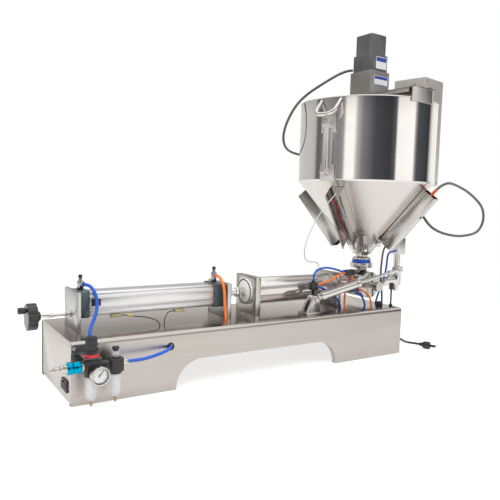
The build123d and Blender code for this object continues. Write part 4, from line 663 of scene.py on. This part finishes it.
# Control box: a closed case of brushed sheet on two stand-offs beside the hopper, with its covers
# screwed on at the front and the side, and the mixer's speed knob.

box_steel = metal("brushed case sheet", (0.56, 0.53, 0.50), (0.66, 0.63, 0.60), smooth=0.34, rough=0.46,
                  stretch=(500, 500, 20), bump=0.03, metallic=0.7)
finished("control_box", box_steel, edge=0.4)
box_turn, box_screw_high, box_rows = 12, 1.4, (534, 864)
box_way = Vector(about(box_turn, 1, 0, 0)) - Vector(about(box_turn, 0, 0, 0))
box_front = Vector((box_way.y, -box_way.x, 0))
screws("box_front_screws", [about(box_turn, x, -70, z) for x in (227, 327) for z in box_rows], box_front,
       box_screw_high, "control_box")
screws("box_side_screws", [about(box_turn, 337, y, z) for y in (-60, 37) for z in box_rows], box_way,
       box_screw_high, "control_box")
finished("speed_knob", black_plastic, edge=0)


# Air preparation unit on the front panel: filter and regulator, lubricator, clear bowls, gauge, and
# the coloured sleeve of the hand slide valve. Its tube enters the panel through a black bush.

bracket = finished("air_unit_bracket", motor_paint)
bracket_face, bracket_screws, bracket_head = -3.05, (7, 55), 5.2
paint(bracket, screw_steel, lambda spot, facing: spot.y < bracket_face
      and min(abs(spot.x - x) for x in bracket_screws) < bracket_head)
work = bmesh.new()
lathed(work, [(4.9, 0), (7.9, 0), (7.9, 2.2), (9.8, 2.2), (9.3, 3.4), (5.6, 3.4), (4.9, 2.6), (4.9, 0)],
       (232, 2, 106.8), (0, -1, 0), 48)
made("tube_bush", work, black_plastic, "panel_fittings")


def see_through(name, colour, thin, thick, rough):
    """A clear moulded part: it lets most light through, a little less where it is clouded."""
    stuff, tree, skin = new_skin(name)
    skin.inputs["Base Color"].default_value = (*colour, 1)
    where = node(tree, "ShaderNodeTexCoord")
    haze = node(tree, "ShaderNodeTexNoise", {"Scale": 90.0, "Detail": 2.0})
    cloud = node(tree, "ShaderNodeMapRange", {"To Min": thin, "To Max": thick})
    gloss = node(tree, "ShaderNodeMapRange", {"To Min": rough * 0.7, "To Max": rough * 1.3})
    wire(tree, (where.outputs["Object"], haze.inputs["Vector"]),
         (haze.outputs["Fac"], cloud.inputs["Value"]),
         (haze.outputs["Fac"], gloss.inputs["Value"]), (cloud.outputs[0], skin.inputs["Alpha"]),
         (gloss.outputs[0], skin.inputs["Roughness"]))
    return stuff


clear = see_through("clear bowl plastic", (0.84, 0.86, 0.88), thin=0.22, thick=0.42, rough=0.12)
thin_glass = see_through("gauge glass", (0.95, 0.95, 0.95), thin=0.05, thick=0.09, rough=0.04)
lock_red = moulded("red lock ring", (0.55, 0.02, 0.025), rough=0.32, bump=0.05)
unit_y, regulator_x, oiler_x = -42.0, 31.0, 84.0
ring_low, ring_high, ring_inside = 118.4, 124.8, 12.5
dome_low, dome_high, dome_r, outlet_x = 112.5, 124.5, 10, 99
regulator = finished("regulator_body", black_plastic, edge=0.5)
paint(regulator, lock_red, lambda spot, facing: ring_low < spot.z < ring_high
      and hypot(spot.x - regulator_x, spot.y - unit_y) > ring_inside)
lubricator = finished("lubricator_body", black_plastic, edge=0.5)
paint(lubricator, clear, lambda spot, facing: dome_low < spot.z < dome_high
      and hypot(spot.x - oiler_x, spot.y - unit_y) < dome_r)
paint(lubricator, nickel, lambda spot, facing: spot.x > outlet_x)
finished("regulator_knob", black_plastic, edge=0)
finished("slide_valve", nickel, edge=0)

bowl_top = 76
drain_tan = moulded("tan drain plug", (0.42, 0.30, 0.16), rough=0.45, bump=0.05)
bowls, drains = bmesh.new(), bmesh.new()
for x, radius, low in ((regulator_x, 12.5, 22), (oiler_x, 11.5, 24)):
    lathed(bowls, [(radius, bowl_top), (radius, low + 16), (radius - 1.5, low + 8), (radius - 5, low + 2),
                   (4, low), (2.6, low + 2), (radius - 6.4, low + 4), (radius - 3.4, low + 9.5),
                   (radius - 2, low + 16), (radius - 2, bowl_top), (radius, bowl_top)],
           (x, unit_y, 0), (0, 0, 1), 64)
    lathed(drains, [(0, low + 4), (2.4, low + 4), (2.4, low - 1), (4.2, low - 2), (4.2, low - 7),
                    (3.0, low - 8), (2.0, low - 11), (0, low - 11)], (x, unit_y, 0), (0, 0, 1), 32)
made("clear_bowls", bowls, clear, "air_bowls", 40, stands_for="air_bowls")
made("bowl_drains", drains, drain_tan, "air_bowls")
work = bmesh.new()
lathed(work, [(0, 74), (7.5, 74), (7.5, 58), (8.6, 57), (8.6, 55), (6.5, 54), (6.5, 47), (0, 46)],
       (regulator_x, unit_y, 0), (0, 0, 1), 40)
lathed(work, [(0, 74), (3.0, 74), (3.0, 66), (1.6, 65), (1.6, 34), (0, 34)],
       (oiler_x, unit_y, 0), (0, 0, 1), 24)
made("filter_and_dip_tube", work, white_plastic, "air_bowls")

gauge_x, gauge_z, dial_y, bezel_y = 40.0, 84.0, -72.0, -72.3
gauge = finished("pressure_gauge", black_plastic, edge=0)
paint(gauge, nickel, lambda spot, facing: spot.y < bezel_y)
finished("gauge_needle", black_plastic, edge=0)
dial_white = moulded("white dial enamel", (0.88, 0.88, 0.88), rough=0.4, bump=0.02, scale=200.0,
                     spread=0.02)
for name, y, material, profile in (
        ("gauge_dial", dial_y + 0.1, dial_white, [(0, 0), (17.0, 0), (17.0, 0.4), (0, 0.4)]),
        ("gauge_ring", dial_y, label_blue, [(16.2, 0), (17.2, 0), (17.2, 0.5), (16.2, 0.5), (16.2, 0)]),
        ("gauge_glass", -78.2, thin_glass, [(0, 0), (17.8, 0), (17.8, 0.8), (0, 0.8)])):
    work = bmesh.new()
    lathed(work, profile, (gauge_x, y, gauge_z), (0, -1, 0), 64)
    made(name, work, material, "pressure_gauge")
first_mark, mark_step, mark_end = 225, 9, 14.9
work = bmesh.new()
for k in range(31):
    long, half_wide = (3.2, 0.28) if k % 5 == 0 else (1.7, 0.16)
    angle = radians(first_mark - mark_step * k)
    reach, aside = Vector((cos(angle), 0, sin(angle))), Vector((-sin(angle), 0, cos(angle))) * half_wide
    for far, way in ((mark_end - long, -1), (mark_end, -1), (mark_end, 1), (mark_end - long, 1)):
        work.verts.new(at(*(Vector((gauge_x, dial_y - 0.5, gauge_z)) + reach * far + aside * way)))
    work.faces.new(list(work.verts)[-4:])
made("gauge_marks", work, black_plastic, "pressure_gauge")

cyan = metal("cyan anodised sleeve", (0.0, 0.30, 0.52), (0.0, 0.42, 0.66), smooth=0.20, rough=0.28,
             stretch=(200, 200, 200), bump=0.01)
sleeve_bore, sleeve_r, sleeve_long = 9.05, 13.5, 29
work = bmesh.new()
lathed(work, [(sleeve_bore, 0), (12.3, 0), (13.1, 0.5), (sleeve_r, 1.6), (sleeve_r, 8), (13.2, 9.6),
              (12.4, 11.3), (11.7, 13), (11.4, 14.5), (11.7, 16), (12.4, 17.7), (13.2, 19.4),
              (sleeve_r, 21), (sleeve_r, 27.4), (13.1, 28.5), (12.3, sleeve_long),
              (sleeve_bore, sleeve_long), (sleeve_bore, 0)], (-20, unit_y, 98), (1, 0, 0), 72)
made("waisted_sleeve", work, cyan, "slide_sleeve", stands_for="slide_sleeve")


# Air tubes: polyurethane tube of 8 and 6 mm, blue and orange, pushed into the fittings at one end
# and led through the deck at the other.


def cord(name, points, diameter, material, part):
    """A tube, cable or wire on one smooth line along its control points."""
    piece = round_line(name, points, diameter, 5, 10)
    piece.data.materials.append(material)
    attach(piece, "machine")
    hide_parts(part)
    return piece


blue_tube = tubing("blue air tube", (0.006, 0.09, 0.50))
orange_tube = tubing("orange air tube", (0.88, 0.20, 0.03))
cord("rear_air_tube", [(63.7, 129, 246), (71.04, 117, 246), (78, 106, 239.5), (82.5, 97, 226.5),
                       (84, 89.5, 210), (81, 80, 191), (70, 68, 172), (58, 54, 157), (52.5, 43, 141),
                       (52, 38, 124)], 8, blue_tube, "air_tubes")
cord("front_air_tube", [(418.5, 129, 252), (418.5, 114, 252), (419.3, 100, 246), (421.5, 91.5, 233.5),
                        (424, 88, 218), (425, 87, 200), (425, 85, 181), (425, 82, 162), (425, 77, 141),
                        (425, 75, 123)], 8, orange_tube, "air_tubes")
cord("supply_hose", [(111, -42, 98), (124, -42, 98), (140, -41, 97.5), (158, -38, 98), (178, -32, 99.5),
                     (199, -26, 102), (218, -17, 104.5), (230, -5, 106.5), (234, 8, 107),
                     (235, 22, 107)], 8, blue_tube, "supply_tube")
cord("pen_blue_tube", [(712, 74, 230), (712, 74, 242), (718, 75.5, 254), (733, 77, 262), (756, 78, 265),
                       (782, 79.5, 262), (806, 81, 256), (824, 82, 250), (838, 82, 250)],
     6, blue_tube, "pen_tubes")
cord("pen_orange_tube", [(722, 74, 218), (735, 74, 218), (755, 75, 220), (775, 76.5, 225.5),
                         (794, 78, 233), (811, 80, 240), (824, 80, 244), (838, 80, 244)],
     6, orange_tube, "pen_tubes")
cord("deck_blue_tube", [(722, 74, 208), (736, 74, 208), (756, 77, 202), (778, 79, 191), (798, 78, 178),
                        (812, 75, 162), (818, 73, 145), (819, 72, 126)],
     6, blue_tube, "deck_tubes")
cord("deck_orange_tube", [(850, 81, 238), (850, 81, 226), (846, 80.5, 210), (840, 78, 194),
                          (834, 74, 178), (831, 71, 162), (831, 70, 146), (831.5, 70, 128)],
     6, orange_tube, "deck_tubes")
cord("valve_orange_tube", [(866, 81, 238), (866, 81, 226), (871, 79, 211), (884, 76, 199),
                           (902, 73, 190), (920, 69, 180), (933, 67.5, 164), (938, 67, 146),
                           (939, 67, 127)], 6, orange_tube, "deck_tubes")
cord("valve_blue_tube", [(858, 84, 238), (858, 84, 224), (862, 82.5, 207), (873, 79, 193),
                         (888, 76.5, 183), (903, 75, 172), (914, 75, 157), (919, 75, 140),
                         (920, 75, 124)], 6, blue_tube, "deck_tubes")
grey_sheath = tubing("grey cable sheath", (0.085, 0.085, 0.09), 0.34)
cord("heater_cable", [(989.2, 57, 336.4), (984.7, 67.4, 322.5), (983.5, 72.5, 307), (983, 74.5, 290),
                      (982, 75.5, 270), (981, 76, 248), (982, 76, 226), (984, 75, 204), (987, 74, 184),
                      (989, 74, 164), (990, 74, 146), (990, 74, 128)],
     6, grey_sheath, "deck_tubes")
cord("nozzle_tube", [(1095.9, 134, 300), (1081, 134, 300), (1067, 131, 293), (1056, 124, 280),
                     (1047, 116, 262), (1036, 108, 243), (1023, 101, 222), (1010, 97, 202),
                     (999, 95, 182), (989, 94, 162), (982, 93, 144), (978, 93, 126)],
     6, blue_tube, "deck_tubes")


# Cables of the mixer motor and the heater in grey sheaths, the loop with a red glass sheath where it
# leaves the hot channel, and the thin sensor wires, the rear one with a yellow sleeve.

cord("motor_lead", [(914, 172, 868), (900, 178, 866), (878, 188, 856), (850, 199, 838), (818, 212, 815),
                    (785, 226, 790), (757, 241, 759), (741, 257, 722), (735, 274, 686), (741, 291, 655),
                    (760, 309, 634), (790, 331, 622), (828, 350, 616), (872, 364, 613), (920, 371, 612),
                    (968, 372, 613), (1014, 366, 616), (1056, 353, 618), (1094, 334, 617),
                    (1123, 311, 612), (1146, 285, 606), (1161, 264, 601), (1168.9, 247.4, 598),
                    (1172.2, 231.9, 598)], 8, grey_sheath, "motor_cable")
loop_route = [(1041.3, -45.4, 476.2), (1048.2, -59, 494.7), (1062, -66, 510), (1084, -66, 520),
              (1112, -60, 524), (1148, -50, 521), (1186, -42, 514), (1224, -35, 505), (1258, -30, 493),
              (1289, -26, 479), (1316, -24, 463), (1335, -22, 444), (1342, -21, 418), (1335, -20, 392),
              (1316, -19, 373), (1290, -18, 365), (1260, -17, 361), (1225, -15, 359), (1187, -11, 363),
              (1150, -5, 371), (1118, 3, 386), (1098, 13, 410), (1092, 27, 436), (1104, 47, 454),
              (1128, 71, 461), (1156, 96, 461), (1178, 115, 466), (1193, 128, 480), (1200, 134, 500),
              (1200, 134, 521.9)]
cord("heater_loop", loop_route, 8, grey_sheath, "loop_cable")
sheath_end = tuple((a + b) / 2 for a, b in zip(loop_route[1], loop_route[2]))
strand("cable_sheath", [*loop_route[:2], sheath_end], 9.6,
       tubing("red glass sheath", (0.62, 0.10, 0.03), 0.5), "loop_cable")
white_wire = tubing("white wire", (0.62, 0.62, 0.60), 0.35)
cord("probe_wire", [(764, 49, 482), (757, 47, 478), (746, 47, 468), (733, 53, 450), (721, 63, 427),
                    (713, 76, 401), (709, 90, 375), (709, 106, 349), (713, 121, 325), (722, 135, 304),
                    (736, 150, 287), (757, 164, 275), (780, 175, 270), (800, 180.5, 269.5),
                    (813, 183, 265), (819.5, 184, 256), (819.5, 184, 246.05)],
     2.6, white_wire, "sensor_wires")
black_wire = tubing("black wire", (0.02, 0.02, 0.02), 0.35)
cord("rear_reed_wire", [(150, 112, 168), (161, 112, 168), (176, 109, 164.5), (192, 105, 162.5),
                        (208, 100, 161), (221, 92, 158), (231, 82, 154), (236, 76, 147), (237, 74, 136),
                        (237, 74, 124)], 2.6, black_wire, "sensor_wires")
strand("wire_sleeve", [(166, 111.4, 167.2), (172, 110.2, 165.6), (179, 108.5, 164.2)], 4.6,
       tubing("yellow wire sleeve", (0.62, 0.45, 0.03), 0.4), "sensor_wires")
cord("front_reed_wire", [(292, 112, 168), (281, 112, 168), (270, 107, 164), (261, 96, 159),
                         (253, 85, 152), (248, 76, 141), (247, 72, 128)],
     2.6, black_wire, "sensor_wires")


# Mains lead: 7 mm black rubber, out of the gland at the back, wound in a coil of four turns behind
# the base, and along the floor past its right end to the plug.

black_rubber = tubing("black rubber sheath", (0.018, 0.018, 0.019), 0.42)
finished("mains_plug", black_rubber, edge=0)
coil_x, coil_y, step_turn, steps = 905, 338, 30, 12
wide_turn, narrow_turn, floor_layer, upper_layer = 42.0, 35.0, 3.5, 10.5


def on_the_coil(step, radius, z):
    """A place on the coil of mains lead, counted in steps of a twelfth of a turn from its back."""
    angle = radians(90 + step_turn * step)
    return coil_x + radius * cos(angle), coil_y + radius * sin(angle), z


coil_turns = []
for k in range(4 * steps + 1):
    outer = k < steps or k >= 3 * steps
    coil_turns.append(on_the_coil(k, wide_turn if outer else narrow_turn,
                                  floor_layer if k < 2 * steps else upper_layer))
half_turn = [on_the_coil(k, wide_turn, 9) for k in range(1, 7)]
lead_in = [(962, 305, 42), (962, 321, 42), (961, 339, 36.5), (956, 354, 24), (947, 365, 11.5),
           (934, 373, 4.6)]
lead_out = [(923, 298.5, 6.6), (943, 295.5, 5.2), (964, 291, 3.9), (987, 286, 3.6), (1011, 281, 3.6),
            (1037, 275, 3.6), (1066, 264, 3.6), (1094, 246, 3.6), (1121, 219, 3.6), (1138, 187, 3.6),
            (1143, 154, 3.6), (1134, 124, 3.7), (1120, 97, 4.5), (1108, 74, 6.5), (1101, 54, 9.5),
            (1099.6, 34.2, 12), (1108, 16, 12)]
mains = cord("mains_lead_coiled", lead_in + coil_turns + half_turn + lead_out, 7, black_rubber,
             "mains_lead")
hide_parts("mains_coil")


# The picture: a pale paper floor that fades out to the white behind it, plain soft studio light, and
# the camera where the photograph was taken from.

floor_mesh = bpy.data.meshes.new("floor")
floor_mesh.from_pydata([(-6, -4, 0), (9, -4, 0), (9, 11, 0), (-6, 11, 0)], [], [(0, 1, 2, 3)])
floor = placed("floor", floor_mesh)
fade_from, fade_to = 1.0, 1.7
paper = bpy.data.materials.new("pale floor")
paper.use_nodes = True
tree = paper.node_tree
tree.nodes.clear()
matt = node(tree, "ShaderNodeBsdfDiffuse", {"Color": (0.35, 0.35, 0.35, 1)})
glow = node(tree, "ShaderNodeEmission", {"Color": (1, 0.985, 0.965, 1), "Strength": 0.62})
bounced = node(tree, "ShaderNodeAddShader")
shown = node(tree, "ShaderNodeBsdfDiffuse", {"Color": (0.42, 0.42, 0.42, 1)})
lit = node(tree, "ShaderNodeEmission", {"Color": (1, 1, 1, 1), "Strength": 0.72})
sweep = node(tree, "ShaderNodeAddShader")
path = node(tree, "ShaderNodeLightPath")
seen_or_bounced = node(tree, "ShaderNodeMixShader")
away = node(tree, "ShaderNodeBsdfTransparent")
edge_out = node(tree, "ShaderNodeMixShader")
where = node(tree, "ShaderNodeTexCoord")
gap = node(tree, "ShaderNodeVectorMath", operation="LENGTH")
fade = node(tree, "ShaderNodeMapRange", {"From Min": fade_from, "From Max": fade_to},
            interpolation_type="SMOOTHSTEP")
out = node(tree, "ShaderNodeOutputMaterial")
wire(tree, (path.outputs["Is Camera Ray"], seen_or_bounced.inputs["Fac"]),
     (matt.outputs[0], bounced.inputs[0]), (glow.outputs[0], bounced.inputs[1]),
     (bounced.outputs[0], seen_or_bounced.inputs[1]), (shown.outputs[0], sweep.inputs[0]),
     (lit.outputs[0], sweep.inputs[1]), (sweep.outputs[0], seen_or_bounced.inputs[2]),
     (where.outputs["Object"], gap.inputs[0]), (gap.outputs["Value"], fade.inputs["Value"]),
     (fade.outputs[0], edge_out.inputs["Fac"]), (seen_or_bounced.outputs[0], edge_out.inputs[1]),
     (away.outputs[0], edge_out.inputs[2]), (edge_out.outputs[0], out.inputs[0]))
floor_mesh.materials.append(paper)

world = bpy.data.worlds.new("studio")
bpy.context.scene.world = world
world.use_nodes = True
tree = world.node_tree
tree.nodes.clear()
toward = node(tree, "ShaderNodeTexCoord")
parts = node(tree, "ShaderNodeSeparateXYZ")
bearing = node(tree, "ShaderNodeMath", operation="ARCTAN2")
share = node(tree, "ShaderNodeMapRange", {"From Min": -pi, "From Max": pi})


def stepped(stops, low, high):
    """A ramp of (place, value) steps between two ends, a little cool where dark and warm where light."""
    ramp = node(tree, "ShaderNodeValToRGB")
    marks = ramp.color_ramp.elements
    for number, (spot, value) in enumerate(stops):
        mark = marks[number] if number < 2 else marks.new((spot - low) / (high - low))
        mark.position = (spot - low) / (high - low)
        cool = 0.5 * max(0.0, 1 - value / 0.3)
        tint = 1 - 0.22 * cool, 0.985 - 0.08 * cool, 0.965 + 0.3 * cool
        mark.color = (*[value * part for part in tint], 1)
    return ramp


around = stepped([(-180, 0.22), (-172, 0.30), (-168, 0.95), (-154, 1.0), (-149, 0.45), (-140, 0.20),
                  (-120, 0.07), (-95, 0.045), (-86, 0.10), (-83, 0.95), (-52, 1.0), (-49, 0.35),
                  (-44, 0.08), (-14, 0.04), (-8, 0.5), (0, 0.85), (40, 0.8), (60, 0.56), (125, 0.50),
                  (132, 0.4), (136, 0.12), (146, 0.14), (150, 0.33), (172, 0.24), (180, 0.22)], -180, 180)
upward = stepped([(-1, 0.6), (0.0, 1.0), (0.15, 1.0), (0.2, 0.55), (0.35, 0.35), (0.5, 0.18), (0.8, 0.14)],
                 -1, 1)
dimmed = node(tree, "ShaderNodeMix", {"Factor": 1.0}, data_type="RGBA", blend_type="MULTIPLY")
height = node(tree, "ShaderNodeMapRange", {"From Min": -1.0, "From Max": 1.0})
above = node(tree, "ShaderNodeMapRange", {"From Min": 0.46, "From Max": 0.70})
below = node(tree, "ShaderNodeMapRange", {"From Min": -0.02, "From Max": -0.14})
roof = node(tree, "ShaderNodeMix", {"B": (0.95, 0.95, 0.95, 1)}, data_type="RGBA")
ground = node(tree, "ShaderNodeMix", {"B": (0.80, 0.79, 0.775, 1)}, data_type="RGBA")
seen = node(tree, "ShaderNodeBackground", {"Strength": 1.3})
plain = node(tree, "ShaderNodeBackground", {"Color": (1, 1, 1, 1), "Strength": 1.0})
path = node(tree, "ShaderNodeLightPath")
pick = node(tree, "ShaderNodeMixShader")
out = node(tree, "ShaderNodeOutputWorld")
wire(tree, (toward.outputs["Generated"], parts.inputs[0]), (parts.outputs["Y"], bearing.inputs[0]),
     (parts.outputs["X"], bearing.inputs[1]), (bearing.outputs[0], share.inputs["Value"]),
     (share.outputs[0], around.inputs["Fac"]), (parts.outputs["Z"], height.inputs["Value"]),
     (height.outputs[0], upward.inputs["Fac"]), (around.outputs["Color"], dimmed.inputs["A"]),
     (upward.outputs["Color"], dimmed.inputs["B"]), (parts.outputs["Z"], above.inputs["Value"]),
     (above.outputs[0], roof.inputs["Factor"]), (dimmed.outputs["Result"], roof.inputs["A"]),
     (parts.outputs["Z"], below.inputs["Value"]), (below.outputs[0], ground.inputs["Factor"]),
     (roof.outputs["Result"], ground.inputs["A"]), (ground.outputs["Result"], seen.inputs["Color"]),
     (path.outputs["Is Camera Ray"], pick.inputs["Fac"]), (seen.outputs[0], pick.inputs[1]),
     (plain.outputs[0], pick.inputs[2]), (pick.outputs[0], out.inputs[0]))

for label, spot, aim, size, power in (("key light", (-1.6, -1.6, 2.4), (0, 0, 0.3), 1.6, 48),
                                      ("fill light", (1.8, -2.0, 1.6), (0.1, 0, 0.3), 1.6, 22),
                                      ("top light", (0.2, 0.4, 2.9), (0, 0, 0), 2.4, 34)):
    lamp_data = bpy.data.lights.new(label, "AREA")
    lamp_data.size = size
    lamp_data.energy = power
    lamp = placed(label, lamp_data)
    lamp.location = spot
    lamp.rotation_euler = (Vector(aim) - Vector(spot)).to_track_quat("-Z", "Y").to_euler()
    lamp.visible_glossy = False

sensor, picture_wide, focal_in_pixels = 36.0, 500, 574.6
yaw, pitch, roll = radians(32.34), radians(-4.93), radians(1.64)
camera_data = bpy.data.cameras.new("camera")
camera_data.sensor_width = sensor
camera_data.lens = sensor * focal_in_pixels / picture_wide
camera_data.clip_end = 50
camera = placed("camera", camera_data)
forward = Vector((sin(yaw) * cos(pitch), cos(yaw) * cos(pitch), sin(pitch)))
right = Vector((cos(yaw), -sin(yaw), 0))
up = right.cross(forward)
level_right = cos(roll) * right + sin(roll) * up
level_up = -sin(roll) * right + cos(roll) * up
turned_camera = Matrix((level_right, level_up, -forward)).transposed().to_4x4()
turned_camera.translation = at(-325.8, -1217.6, 454.7)
camera.matrix_world = turned_camera
bpy.context.scene.camera = camera
bpy.context.scene.view_settings.view_transform = "Standard"


bpy.context.view_layer.update()
